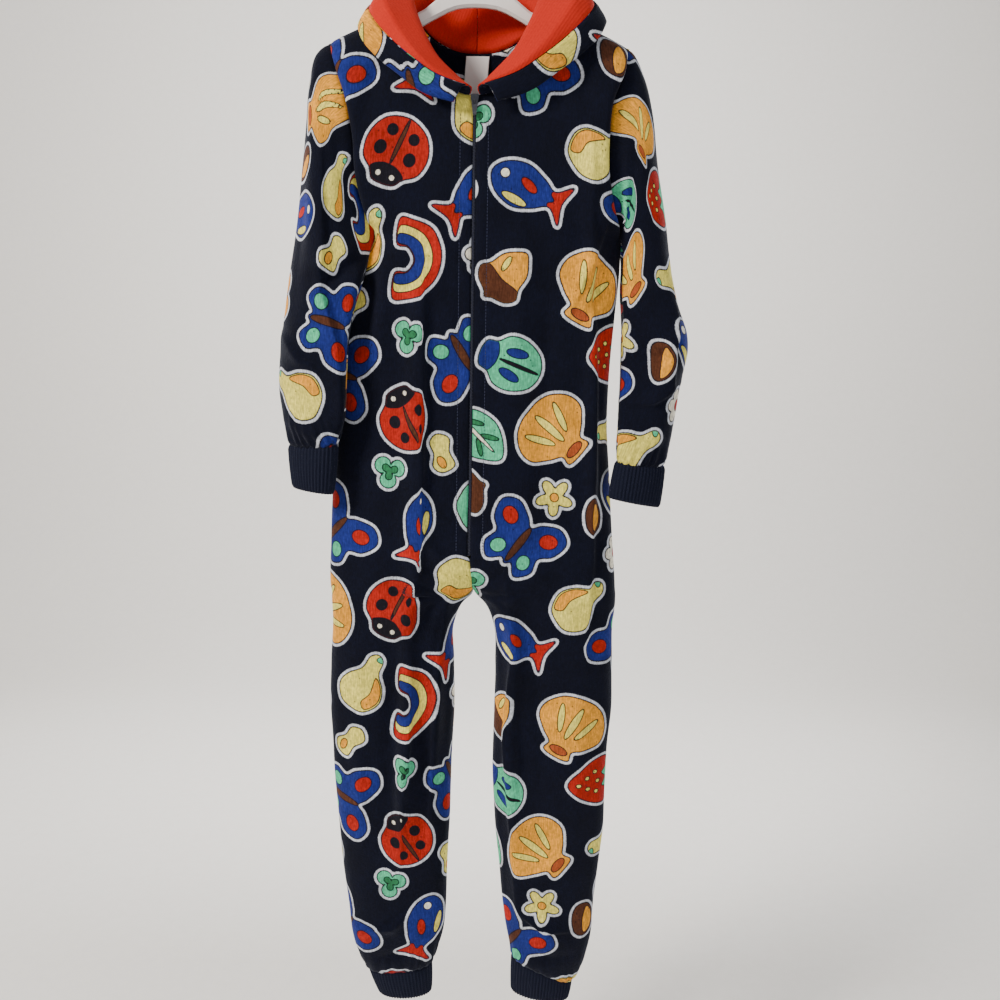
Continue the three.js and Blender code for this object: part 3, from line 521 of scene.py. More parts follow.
# Each motif: its ground colour and outline, then up to three inner parts that lie on each other
MOTIFS = {
    "flower": [
        ("orange", [lobed(7, 25, 37, 0.6)]),
        ("yellow", [lobed(7, 13, 23, 0.7)]),
        ("brown", [oval(0, 0, 19, 19)]),
    ],
    "butterfly": [
        ("blue", [
            mirrored([
                (0, 18), (9, 26), (26, 34), (40, 26), (37, 8), (26, -3),
                (29, -18), (18, -30), (6, -21), (0, -25),
            ]),
        ]),
        ("red", pair(24, 17, 19, 15, 30)),
        ("mint", pair(16, -14, 14, 16, 40)),
        ("brown", [oval(0, -2, 8, 42)]),
    ],
    "shell": [
        ("orange", [
            mirrored([
                (0, 33), (13, 32), (26, 26), (36, 13), (36, -2), (24, -14), (13, -22), (14, -32), (0, -34),
            ]),
        ]),
        ("yellow", [oval(0, 6, 8, 38), *pair(15, 6, 7, 32, -24)]),
        ("rust", [oval(0, -26, 20, 9)]),
    ],
    "fish": [
        ("blue", [
            smooth_outline([
                (37, 2), (28, 15), (8, 21), (-12, 15), (-25, 9), (-39, 20), (-35, 1),
                (-39, -18), (-25, -6), (-10, -14), (8, -20), (28, -13),
            ]),
        ]),
        ("red", [
            smooth_outline([(-22, 8), (-41, 23), (-37, 1), (-41, -21), (-22, -5), (-27, 1)]),
            oval(0, 4, 19, 9, 20),
        ]),
        ("yellow", [oval(8, -13, 26, 8, 4)]),
        ("cream", [oval(25, 5, 9, 9)]),
    ],
    "sun": [
        ("orange", [lobed(9, 22, 35, 0.8)]),
        ("yellow", [oval(0, 0, 38, 38, 0, 28)]),
        ("brown", [
            *pair(7, 5, 5, 6),
            smooth_outline([(-9, -4), (0, -8), (9, -4), (7, -8), (0, -12), (-7, -8)]),
        ]),
    ],
    "leaf": [
        ("mint", [
            smooth_outline([
                (0, 37), (13, 26), (21, 8), (17, -12), (6, -25), (3, -37),
                (-3, -37), (-6, -25), (-17, -12), (-21, 8), (-12, 26),
            ]),
        ]),
        ("green", [*pair(7, 14, 5, 19, -32), *pair(7, -6, 5, 19, -32)]),
        ("cream", [oval(0, 0, 4, 56)]),
    ],
    "ladybird": [
        ("red", [mirrored([(0, 32), (11, 30), (17, 22), (28, 12), (30, -6), (20, -23), (0, -30)])]),
        ("line", [
            mirrored([(0, 33), (11, 31), (17, 21), (8, 15), (0, 14)]),
            *pair(15, 3, 11, 12),
            *pair(11, -15, 10, 10),
        ]),
        ("brown", [oval(0, -8, 4, 44)]),
        ("cream", pair(7, 24, 6, 6)),
    ],
    "acorn": [
        ("orange", [
            mirrored([(0, 27), (5, 23), (17, 18), (23, 9), (18, 0), (15, -14), (6, -25), (0, -29)]),
        ]),
        ("brown", [mirrored([(0, 28), (5, 24), (18, 19), (24, 9), (18, 2), (0, 4)])]),
        ("yellow", [oval(-7, -9, 6, 16, -12)]),
    ],
    "berry": [
        ("red", [mirrored([(0, 32), (10, 29), (22, 21), (26, 7), (18, -14), (0, -31)])]),
        ("mint", [mirrored([(0, 34), (10, 29), (23, 21), (12, 17), (7, 9), (0, 17)])]),
        ("yellow", [oval(x, y, 4.6, 6) for x, y in SEEDS]),
    ],
    "rainbow": [
        ("red", [
            mirrored([(0, 26), (16, 23), (31, 11), (37, -8), (37, -21), (14, -21), (11, -9), (0, -3)], 8),
        ]),
        ("yellow", [
            mirrored([(0, 18), (13, 15), (24, 6), (30, -8), (30, -20), (15, -20), (12, -9), (0, -2)], 8),
        ]),
        ("blue", [
            mirrored([(0, 10), (10, 7), (18, 1), (23, -10), (23, -20), (15, -20), (12, -9), (0, -2)], 8),
        ]),
    ],
    "pear": [
        ("yellow", [mirrored([(0, 33), (7, 28), (9, 14), (19, 1), (23, -14), (14, -28), (0, -31)])]),
        ("orange", [smooth_outline([(8, 10), (18, 0), (21, -14), (13, -26), (6, -20), (10, -8)])]),
        ("mint", [oval(8, 31, 17, 8, 24)]),
    ],
    "beetle": [
        ("mint", [mirrored([(0, 31), (12, 28), (15, 18), (24, 8), (25, -8), (16, -25), (0, -31)])]),
        ("blue", [mirrored([(0, 32), (12, 29), (15, 19), (7, 14), (0, 13)]), *pair(11, -3, 9, 22, 10)]),
        ("line", [oval(0, -9, 3.6, 42)]),
    ],
    "star": [
        ("yellow", [lobed(5, 8.5, 19, 1.5)]),
        ("orange", [oval(0, 0, 9, 9)]),
    ],
    "moon": [
        ("yellow", [
            smooth_outline([
                (6, 19), (-10, 17), (-19, 3), (-16, -12), (-3, -20), (12, -17), (2, -9), (-3, 2), (0, 12),
            ]),
        ]),
        ("orange", [oval(-10, 1, 7, 8)]),
    ],
    "bean": [
        ("yellow", [
            smooth_outline([
                (-19, 4), (-12, 12), (0, 9), (12, 11), (19, 3), (13, -8), (0, -6), (-14, -9),
            ]),
        ]),
        ("orange", [oval(-9, 3, 13, 8, 20)]),
    ],
    "sprig": [
        ("mint", [lobed(3, 6, 17, 0.7, 1.57)]),
        ("green", [lobed(3, 2, 9, 0.9, 1.57)]),
    ],
    "pebble": [
        ("brown", [
            smooth_outline([(-19, 0), (-12, 12), (4, 14), (18, 6), (17, -7), (4, -13), (-13, -10)]),
        ]),
        ("orange", [smooth_outline([(-16, 2), (-10, 10), (3, 12), (15, 5), (6, 0), (-6, -1)])]),
    ],
    "daisy": [
        ("cream", [lobed(6, 11, 18, 0.6)]),
        ("red", [oval(0, 0, 12, 12)]),
    ],
}
BIG = [
    *("shell", "butterfly", "flower", "ladybird", "fish", "pear"),
    *("sun", "leaf", "berry", "acorn", "rainbow", "beetle"),
]
SMALL = ["bean", "star", "pebble", "moon", "sprig", "daisy"]
PARTS = ["part_a", "part_b", "part_c"]
reach = {name: max(np.hypot(*outline.T).max() for outline in parts[0][1]) for name, parts in MOTIFS.items()}
smallest, largest = round(min(reach.values())), round(max(reach.values()))
print("motifs:", len(MOTIFS), "reaching", smallest, "to", largest, "mm")

# %% [markdown]
# The printed cloth repeats itself both ways every half metre or so, as a roller print does.
# Motifs are thrown on the repeat one after another, and each one stays where it has room.
# The large ones come first, then small ones fill the gaps, and each is turned by its own angle.
# A coarse raster keeps the distance to the motifs that are already down.

# %% Distance from points to an outline, negative inside
def distance_to(outline, x, y):
    """The signed distance from points to one closed outline."""
    best = np.full(x.shape, np.inf)
    inside = np.zeros(x.shape, bool)
    for (ax, ay), (bx, by) in zip(outline, np.roll(outline, -1, axis=0)):
        ex, ey = bx - ax, by - ay
        wx, wy = x - ax, y - ay
        t = np.clip((wx * ex + wy * ey) / max(ex * ex + ey * ey, 1e-12), 0, 1)
        best = np.minimum(best, (wx - t * ex) ** 2 + (wy - t * ey) ** 2)
        if ay != by:
            inside ^= ((ay > y) != (by > y)) & (x < ex * (y - ay) / ey + ax)
    return np.sqrt(best) * np.where(inside, -1, 1)


def distance_to_part(outlines, x, y):
    """The signed distance to the nearest of several outlines."""
    return np.min([distance_to(outline, x, y) for outline in outlines], axis=0)


# %% Lay the motifs out on the print's repeat
REPEAT = 0.44
RASTER = 220
OUTLINE_WIDTH = 3.4
GAP = {"big": 4.5, "small": 3.5}
STAGES = (("big", ["butterfly", "fish", "shell"], 45), ("big", BIG, 5000), ("small", SMALL, 9000))
TWINS_APART = 125


def turned(outline, angle, mirror=1):
    """An outline turned by an angle, and mirrored where mirror is -1."""
    c, s = math.cos(angle), math.sin(angle)
    x, y = outline[:, 0] * mirror, outline[:, 1]
    return np.stack([x * c - y * s, x * s + y * c], axis=1)


def lay_out(seed=5):
    """Places of motifs on the repeat: name, x and y in metres, angle and scale."""
    chance = np.random.RandomState(seed)
    cell = REPEAT / RASTER
    middles = (np.arange(RASTER) + 0.5) * cell
    grid_x, grid_y = np.meshgrid(middles, middles, indexing="ij")
    room = np.full((RASTER, RASTER), np.inf)
    placed = []
    for size, names, tries in STAGES:
        for turn in range(tries):
            name = names[turn % len(names)]
            x, y = chance.rand(2) * REPEAT
            angle = chance.rand() * 2 * math.pi
            outline = turned(MOTIFS[name][0][1][0], angle)
            at = np.floor((outline * MM + (x, y)) / cell).astype(int) % RASTER
            if room[at[:, 0], at[:, 1]].min() < 2 * OUTLINE_WIDTH + GAP[size]:
                continue
            if room[int(x / cell) % RASTER, int(y / cell) % RASTER] < reach[name] / 2:
                continue
            twins = [
                math.hypot(*(min(abs(d), REPEAT - abs(d)) for d in (x - ox, y - oy))) / MM
                for other, ox, oy, _angle in placed
                if other == name
            ]
            if twins and min(twins) < TWINS_APART:
                continue
            placed.append((name, x, y, angle))
            dx = (grid_x - x + REPEAT / 2) % REPEAT - REPEAT / 2
            dy = (grid_y - y + REPEAT / 2) % REPEAT - REPEAT / 2
            near = np.hypot(dx, dy) < (reach[name] + 60) * MM
            away = distance_to(outline, dx[near] / MM, dy[near] / MM)
            room[near] = np.minimum(room[near], away)
    return placed


layout = lay_out()
print("print repeat:", len(layout), "motifs on", REPEAT, "m")


# %% [markdown]
# Each point of the cloth keeps its distance to the nearest motif's edge and to that motif's inner parts,
# and the colour of each. A point far from any motif keeps a large distance, and shows the ground.


# %% Distances and colours of the print on the flat cloth
FAR = 30.0
KEPT_ROUND = 2.2 * OUTLINE_WIDTH


def printed(places):
    """The print's distances and colours at places on the flat cloth, in metres."""
    count = len(places)
    values = {"edge": np.full(count, FAR)}
    for part in PARTS:
        values[part] = np.full(count, FAR)
    ground = linear(COLOURS["ground"])
    fills = ["fill", *("fill_" + part[-1] for part in PARTS)]
    colours = {name: np.tile(ground, (count, 1)) for name in fills}
    low = np.floor(places.min(axis=0) / REPEAT).astype(int) - 1
    high = np.floor(places.max(axis=0) / REPEAT).astype(int) + 1
    for i in range(low[0], high[0] + 1):
        for j in range(low[1], high[1] + 1):
            for name, cx, cy, angle in layout:
                off = (places - [cx + i * REPEAT, cy + j * REPEAT]) / MM
                near = np.flatnonzero((off**2).sum(axis=1) < (reach[name] + KEPT_ROUND) ** 2)
                if not len(near):
                    continue
                c, s = math.cos(angle), math.sin(angle)
                x = off[near, 0] * c + off[near, 1] * s
                y = off[near, 1] * c - off[near, 0] * s
                parts = MOTIFS[name]
                distance = distance_to_part(parts[0][1], x, y)
                closer = distance < values["edge"][near]
                near, x, y = near[closer], x[closer], y[closer]
                values["edge"][near] = distance[closer]
                colours["fill"][near] = linear(COLOURS[parts[0][0]])
                for key, k in zip(PARTS, range(1, 4)):
                    if k < len(parts):
                        values[key][near] = distance_to_part(parts[k][1], x, y)
                        colours["fill_" + key[-1]][near] = linear(COLOURS[parts[k][0]])
                    else:
                        values[key][near] = FAR
    return values, colours


# %% [markdown]
# A shell is a closed sheet of real thickness. Its face carries the print and needs a fine mesh.
# Its inner side shows only at the neck and in the cuffs, so it has one point for every three of the face.
# Round the edge, a narrow face joins each stretch of the fine border to the coarse one.


# %% Build a shell from a grid
def on_both_sides(flat):
    """The flat cloth's places for the face's points and then the inner side's."""
    return np.concatenate([flat.reshape(-1, 2), flat[::STRIDE, ::STRIDE].reshape(-1, 2)])


def shell(name, grid, facing, thickness, flat):
    """A closed sheet: the grid as its face, and a coarser inner side one thickness behind it."""
    rows, columns = grid.shape[:2]
    normals = normals_of(grid, facing)
    behind = (grid - normals * thickness)[::STRIDE, ::STRIDE]
    inner_rows, inner_columns = behind.shape[:2]
    outer_at = np.arange(rows * columns).reshape(rows, columns)
    inner_at = rows * columns + np.arange(inner_rows * inner_columns).reshape(inner_rows, inner_columns)
    faces = quads_of(outer_at).tolist() + quads_of(inner_at)[:, ::-1].tolist()
    borders = [
        (outer_at[0], inner_at[0]),
        (outer_at[-1][::-1], inner_at[-1][::-1]),
        (outer_at[:, 0][::-1], inner_at[:, 0][::-1]),
        (outer_at[:, -1], inner_at[:, -1]),
    ]
    for fine, coarse in borders:
        for k in range(len(coarse) - 1):
            stretch = fine[k * STRIDE : (k + 1) * STRIDE + 1].tolist()
            faces.append(stretch + [int(coarse[k + 1]), int(coarse[k])])
    if facing < 0:
        faces = [face[::-1] for face in faces]
    points = np.concatenate([grid.reshape(-1, 3), behind.reshape(-1, 3)])
    piece = new_object(name, points.tolist(), faces)
    layer = piece.data.uv_layers.new(name="Cloth")
    layer.data.foreach_set("uv", on_both_sides(flat)[point_at_corners(piece.data)].ravel())
    return piece


def store_print(piece, flat, cut_from):
    """Stores on a shell's points the print where the piece was cut from the roll."""
    values, colours = printed(on_both_sides(flat) + np.array(cut_from))
    for key, numbers in values.items():
        made = piece.data.attributes.new(key, "FLOAT", "POINT")
        made.data.foreach_set("value", numbers)
    for key, numbers in colours.items():
        made = piece.data.attributes.new(key, "FLOAT_COLOR", "POINT")
        made.data.foreach_set("color", numbers.ravel())


def dress(piece, node, material, body="garment"):
    """Gives a piece its material, and lets it stand for its node in the frame."""
    piece.data.materials.append(material)
    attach(piece, body)
    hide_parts(node)


# %% [markdown]
# Plush fleece is a knit whose loops are cut and brushed into a short dense pile.
# The pile makes it matt and soft at the edges: colours fade into each other over half a millimetre.
# Its play of light is painted into the colour: painted shade in small tufts, a faint painted sheen in broad
# patches, and painted lighter streaks along the pile.


# %% Plush fleece with a sticker print
def plush_fleece():
    made, tree = new_material("plush_fleece_brushed_and_printed")
    uv = on_cloth(tree)
    drawn = add_node(tree, "ShaderNodeVectorMath", {"operation": "MULTIPLY"}, _0=uv, _1=(1.0, 0.16, 1.0))
    pile = noise(tree, uv, 1.1 * MM, Detail=3.0, Roughness=0.6)
    streak = noise(tree, drawn.outputs[0], 1.3 * MM, Detail=3.0)
    tuft = noise(tree, uv, 3.2 * MM, Detail=2.0)
    lie = noise(tree, uv, 38 * MM, Detail=2.0)
    dots = add_node(tree, "ShaderNodeTexVoronoi", Vector=uv, Scale=1 / (7.5 * MM)).outputs["Distance"]
    line = linear(COLOURS["line"])

    def counted(operation, *values):
        """One step of arithmetic."""
        numbered = {f"_{k}": value for k, value in enumerate(values)}
        return add_node(tree, "ShaderNodeMath", {"operation": operation}, **numbered).outputs[0]

    def stored(name, socket="Fac"):
        """A value that the shell stores on its points."""
        return add_node(tree, "ShaderNodeAttribute", {"attribute_name": name}).outputs[socket]

    def below(value, limit, soft=0.35):
        """1 where the value is below the limit, fading over a soft width."""
        return spread(tree, value, limit - soft, limit + soft, 1.0, 0.0)

    fuzz = counted("MULTIPLY_ADD", pile, 1.6, -0.8)
    edge = counted("ADD", stored("edge"), fuzz)
    inside = below(edge, -0.5)
    shown = mixed(tree, below(edge, OUTLINE_WIDTH), linear(COLOURS["ground"]), linear(COLOURS["white"]))
    shown = mixed(tree, below(edge, 0.8), shown, line)
    shown = mixed(tree, inside, shown, stored("fill", "Color"))
    for part in PARTS:
        near = counted("MULTIPLY_ADD", fuzz, 0.5, stored(part))
        outlined = counted("MULTIPLY", below(near, 0.5, 0.25), inside)
        filled = counted("MULTIPLY", below(near, -0.5, 0.25), inside)
        shown = mixed(tree, outlined, shown, line)
        shown = mixed(tree, filled, shown, stored("fill_" + part[-1], "Color"))
    speck = counted("MULTIPLY", below(dots, 0.1, 0.04), below(edge, -3.0))
    shown = mixed(tree, counted("MULTIPLY", speck, 0.75), shown, line)
    # Painted light: the print's colour is scaled by painted shade in the pile's tufts, a painted sheen in
    # broad patches and painted sheen streaks along the pile.
    shade = spread(tree, tuft, 0.3, 0.7, 0.8, 1.15)
    painted_bloom_sheen = spread(tree, lie, 0.35, 0.65, 0.85, 1.15)
    painted_nap_sheen = spread(tree, streak, 0.35, 0.7, 0.8, 1.35)
    light = counted("MULTIPLY", counted("MULTIPLY", shade, painted_bloom_sheen), painted_nap_sheen)
    lit = add_node(tree, "ShaderNodeVectorMath", {"operation": "SCALE"}, Vector=shown, Scale=light)
    finish_material(
        tree,
        Base_Color=lit.outputs[0],
        Roughness=0.95,
        Specular_IOR_Level=0.15,
        Sheen_Weight=0.12,
        Sheen_Roughness=0.4,
        Sheen_Tint=linear("#B8C0D8"),
        Normal=bump(tree, counted("ADD", pile, tuft), 0.5, 0.9 * MM),
    )
    return made


fleece = plush_fleece()
print("material:", fleece.name, "with", len(fleece.node_tree.nodes), "nodes")


# %% [markdown]
# The hood is lined with a thin red single jersey. Close up, its face is rows of small V stitches.
# The cuffs are a heavier rib knit in navy, and the label is a white woven satin with no print on it.


# %% Red jersey, rib knit and satin
def knit(name, direction, pitch, curl, relief, grain, colours, sheen, sheen_colour, roughness):
    """A knit: fine rows of stitches as a relief, and a mottled colour."""
    made, tree = new_material(name)
    uv = on_cloth(tree)
    rows = waves(tree, direction, uv, pitch, Distortion=curl)
    finish_material(
        tree,
        Base_Color=two_tone(tree, noise(tree, uv, grain, Detail=3.0), *colours),
        Roughness=roughness,
        Specular_IOR_Level=0.2,
        Sheen_Weight=sheen,
        Sheen_Tint=linear(sheen_colour),
        Normal=bump(tree, rows, relief, 0.4 * MM),
    )
    return made


def satin_weave():
    made, tree = new_material("polyester_satin_woven_white")
    threads = waves(tree, "X", on_cloth(tree), 0.5 * MM)
    tint = two_tone(tree, threads, "#F0EFED", "#FAFAF8")
    relief = bump(tree, threads, 0.15, 0.1 * MM)
    finish_material(tree, Base_Color=tint, Roughness=0.45, Anisotropic=0.4, Normal=relief)
    return made


jersey = knit(
    "single_jersey_knitted_red",
    direction="X",
    pitch=1.5 * MM,
    curl=0.6,
    relief=0.35,
    grain=2.5 * MM,
    colours=("#AE1C10", "#C92C18"),
    sheen=0.15,
    sheen_colour="#F08878",
    roughness=0.85,
)
ribbing = knit(
    "rib_knit_polyester_navy",
    direction="Y",
    pitch=1.3 * MM,
    curl=1.0,
    relief=0.4,
    grain=1.4 * MM,
    colours=("#070A18", "#11162C"),
    sheen=0.06,
    sheen_colour="#9AA6C8",
    roughness=0.9,
)
satin = satin_weave()
print("cloth materials:", fleece.name, jersey.name, ribbing.name, satin.name)

# %% [markdown]
# The zip's tape and coil and the sewing thread are dyed polyester and nylon. The slider is plated zinc.
# The hanger is a plain moulded plastic one with faint flow marks.


# %% Zip tape, coil, thread, metal and hanger plastic
def zip_tape_weave():
    made, tree = new_material("polyester_tape_woven_navy")
    weave = waves(tree, "DIAGONAL", on_object(tree), 1.2 * MM)
    tint = two_tone(tree, weave, "#0B0E1E", "#191E36")
    finish_material(tree, Base_Color=tint, Roughness=0.8, Normal=bump(tree, weave, 0.3, 0.2 * MM))
    return made


def nylon_coil():
    made, tree = new_material("nylon_coil_dyed_navy")
    mottle = noise(tree, on_object(tree), 0.8 * MM)
    finish_material(tree, Base_Color=two_tone(tree, mottle, "#101426", "#20263F"), Roughness=0.45)
    return made


def sewing_thread():
    made, tree = new_material("polyester_thread_spun_navy")
    twist = waves(tree, "DIAGONAL", on_object(tree), 0.5 * MM)
    finish_material(tree, Base_Color=two_tone(tree, twist, "#141A34", "#2A3254"), Roughness=0.6)
    return made


def plated_zinc():
    made, tree = new_material("zinc_die_cast_and_gunmetal_plated")
    wear = noise(tree, on_object(tree), 2 * MM, Detail=4.0)
    tint = two_tone(tree, wear, "#4A4C55", "#6E7078")
    rough = spread(tree, wear, 0.3, 0.7, 0.28, 0.5)
    finish_material(tree, Base_Color=tint, Metallic=1.0, Roughness=rough)
    return made


def moulded_plastic():
    made, tree = new_material("polystyrene_moulded_white")
    spot = on_object(tree)
    flow = noise(tree, spot, 18 * MM, Detail=3.0)
    tint = two_tone(tree, flow, "#E6E4DF", "#F2F0EC")
    rough = spread(tree, flow, 0.3, 0.7, 0.28, 0.4)
    relief = bump(tree, noise(tree, spot, 0.7 * MM), 0.06, 0.1 * MM)
    finish_material(tree, Base_Color=tint, Roughness=rough, Normal=relief)
    return made


tape, coil, thread = zip_tape_weave(), nylon_coil(), sewing_thread()
metal, plastic = plated_zinc(), moulded_plastic()
print("materials:", len(bpy.data.materials))

# %% [markdown]
# Each front and back runs in one piece from the shoulder to the ankle.
# The large folds come with the construction model's grid. The finer ones are placed here,
# as lines on the garment seen from the front, each with its own depth and width.
# At every seam the cloth turns in, so a shallow valley runs along each edge.


# %% Folds
STEEP = 0.28
FULLNESS = 1.6


def fold(x, z, path, depth, width, steep=0, hidden=0):
    """A soft ridge, or a trough where depth is negative, along a line in millimetres seen from the front.

    steep makes one side short: 1 is the wearer's left of a line that runs down, or above one that runs from
    left to right. Returns the offset, and how much cloth lies hidden in the fold for a point on that side.
    """
    path = np.array(path, float) * MM
    so_far = np.concatenate([[0], np.cumsum(np.linalg.norm(np.diff(path, axis=0), axis=1))])
    best = np.full(x.shape, np.inf)
    place, side = np.zeros(x.shape), np.zeros(x.shape)
    for k in range(len(path) - 1):
        (ax, az), (bx, bz) = path[k], path[k + 1]
        ex, ez = bx - ax, bz - az
        t = np.clip(((x - ax) * ex + (z - az) * ez) / (ex * ex + ez * ez), 0, 1)
        away = (x - ax - t * ex) ** 2 + (z - az - t * ez) ** 2
        nearer = away < best
        best = np.where(nearer, away, best)
        place = np.where(nearer, (so_far[k] + t * (so_far[k + 1] - so_far[k])) / so_far[-1], place)
        side = np.where(nearer, np.sign((z - az) * ex - (x - ax) * ez), side)
    reach_here = np.where(side * steep > 0, STEEP * width, width) * MM
    swell = np.sin(np.pi * np.clip(place, 0.02, 0.98)) ** 0.7 * (1 + 0.25 * np.sin(9 * place + depth))
    offset = FULLNESS * depth * MM * swell * np.exp(-((np.sqrt(best) / reach_here) ** 1.7))
    beyond = 1 / (1 + np.exp(-np.clip(side * np.sqrt(best) / (0.7 * MM), -30, 30)))
    return offset, hidden * MM * np.sin(np.pi * place) * beyond


def seam_dip(grid, depth=1.3, width=3.0):
    """How far the cloth turns in towards its edges, and each point's distance from them."""
    u, v = lengths(grid, 1), lengths(grid, 0)
    sides = np.minimum(u, u[:, -1:] - u)
    ends = np.minimum(v, v[-1:] - v)
    from_edge = np.minimum(sides, ends)
    return -depth * MM * np.exp(-((from_edge / (width * MM)) ** 2)), from_edge


def slack(flat, seed, size=0.5):
    """Faint unevenness of hanging cloth, from a few waves that cross."""
    chance = np.random.RandomState(seed)
    total = 0
    for _ in range(7):
        angle = chance.rand() * math.pi
        pitch = (32 + 60 * chance.rand()) * MM
        phase = chance.rand() * 2 * math.pi
        along = flat[..., 0] * math.cos(angle) + flat[..., 1] * math.sin(angle) * 0.6
        total = total + np.sin(2 * math.pi * along / pitch + phase)
    return total * size * MM / 3


# Each row: the line, its depth and width, its steep side, and the cloth hidden in it
FOLDS = {
    "front_right": [
        ([(-46, -290), (-47, -381), (-48, -480), (-47, -592), (-57, -652), (-60, -720)], 3.6, 15, 1, 17),
        ([(-94, -286), (-104, -318), (-114, -352)], -4.5, 7),
        ([(-84, -262), (-100, -306), (-120, -372)], 3.0, 8, -1),
        ([(-88, -296), (-84, -350), (-92, -430)], 2.0, 9),
        ([(-30, -190), (-34, -300), (-28, -410)], 1.4, 12),
        ([(-57, -700), (-58, -760), (-64, -850), (-70, -960)], 3.4, 9, 1, 9),
        ([(-70, -640), (-76, -760), (-84, -900)], -2.4, 9),
        ([(-8, -632), (-34, -618), (-70, -600)], -2.2, 7),
        ([(-6, -622), (-30, -600), (-58, -566)], 2.0, 7),
        ([(-110, -700), (-112, -820), (-108, -930)], 1.8, 9),
        ([(-22, -640), (-32, -720), (-36, -800), (-40, -930)], 2.8, 7, -1),
        ([(-54, -985), (-78, -1008), (-104, -1016)], 3.6, 8, -1),
        ([(-50, -1032), (-72, -1044), (-100, -1050)], -2.0, 7),
        ([(-70, -120), (-92, -150), (-104, -200)], -1.8, 9),
    ],
    "front_left": [
        ([(108, -200), (114, -330), (119, -470), (122, -600), (118, -740)], 4.0, 11, 1, 12),
        ([(40, -200), (46, -320), (40, -450)], 1.6, 12),
        ([(70, -300), (74, -430), (84, -560)], -1.8, 10),
        ([(134, -296), (124, -330), (104, -384)], -3.6, 7),
        ([(128, -270), (112, -318), (88, -372)], 2.6, 8, 1),
        ([(34, -605), (46, -700), (40, -785), (46, -880), (56, -1000)], 3.6, 9, -1, 9),
        ([(8, -632), (34, -618), (72, -606)], -2.2, 7),
        ([(6, -622), (34, -596), (70, -566)], 2.0, 8),
        ([(66, -650), (72, -780), (78, -900)], -2.2, 9),
        ([(110, -690), (116, -820), (114, -950)], 2.0, 10),
        ([(56, -990), (84, -1010), (118, -1010)], 3.6, 8, -1),
        ([(60, -1036), (88, -1046), (116, -1040)], -2.0, 7),
        ([(64, -118), (96, -150), (112, -196)], -1.8, 9),
    ],
    "back_right": [
        ([(-40, -150), (-46, -300), (-52, -450)], 1.8, 12),
        ([(-96, -300), (-88, -380), (-92, -500)], 2.4, 10),
        ([(-24, -520), (-40, -580), (-80, -620)], -2.6, 10),
        ([(-10, -640), (-40, -640), (-90, -600)], 2.6, 9),
        ([(-60, -690), (-70, -820), (-78, -980)], 2.4, 9),
        ([(-110, -660), (-112, -800), (-104, -960)], -2.0, 9),
        ([(-50, -1000), (-78, -1020), (-104, -1026)], 2.2, 8),
    ],
    "back_left": [
        ([(50, -150), (44, -290), (54, -430)], 1.8, 12),
        ([(120, -300), (108, -390), (112, -520)], 2.4, 10),
        ([(24, -530), (50, -590), (100, -612)], -2.6, 10),
        ([(14, -640), (50, -640), (104, -608)], 2.6, 9),
        ([(64, -700), (74, -830), (84, -980)], 2.4, 9),
        ([(118, -680), (124, -810), (120, -960)], -2.0, 9),
        ([(62, -1004), (90, -1020), (118, -1018)], 2.2, 8),
    ],
}


PUCKERS_PER_METRE = 95
GATHER_LENGTH = 16 * MM


def gathers(grid, flat, depth=1.0):
    """Small puckers where the cloth is drawn into a cuff."""
    u = flat[..., 0]
    from_end = lengths(grid[::-1], 0)[::-1]
    uneven = 0.004 * np.sin(u * 70 + 3) + 0.0015 * np.sin(u * 210 + 6)
    ripples = np.sin(2 * math.pi * PUCKERS_PER_METRE * (u + uneven))
    return depth * MM * ripples * np.exp(-from_end / GATHER_LENGTH) * np.clip(from_end / (2 * MM), 0, 1)


# %% [markdown]
# Each front has the zip along its free edge. A line of stitches holds the tape and draws the cloth into waves.
# Below the zip's end the two fronts come together in a seam.

# %% Fronts and backs
SPACING = 1.85 * MM
FLEECE = 2.0 * MM
PRINT_LINE = 82 * MM
FREE_OF_SEAM = 9 * MM
STITCHED_AT = 13 * MM
ZIP_FOOT = -0.599
# Each row: the grid's first corner, the end of its first row, and where on the print it was cut
PANELS = {
    "front_right": ((-0.0016, -0.036, -0.168), (-0.138, -0.00015, -0.116), (0.05, 0.40)),
    "front_left": ((0.0016, -0.036, -0.168), (0.143, -0.00015, -0.116), (0.31, 0.11)),
    "back_right": ((-0.0002, 0.028, -0.118), (-0.138, 0.00015, -0.116), (0.22, 0.29)),
    "back_left": ((0.0002, 0.028, -0.118), (0.143, 0.00015, -0.116), (0.02, 0.17)),
}


def zip_side(x, z):
    """The groove along the line of stitches, and the waves that it draws in the cloth."""
    across = np.abs(x) / MM
    along = np.clip((z - ZIP_FOOT) / (12 * MM), 0, 1)
    groove = -0.8 * np.exp(-(((across - STITCHED_AT / MM) / 1.5) ** 2))
    ripple = 0.45 * np.sin(z / (5.2 * MM) + 2.5 * np.sin(z / (31 * MM))) * np.exp(-((across / 15) ** 2))
    return (groove + ripple * np.clip(across / 6 - 0.4, 0, 1)) * along * MM


def closed_below_zip(x, z):
    """How far the two fronts come together under the zip's end, where a seam joins them."""
    below = np.clip((ZIP_FOOT - 1 * MM - z) / (4 * MM), 0, 1)
    return 1.4 * MM * below * np.exp(-np.maximum(np.abs(x) - 1.6 * MM, 0) / (8 * MM))


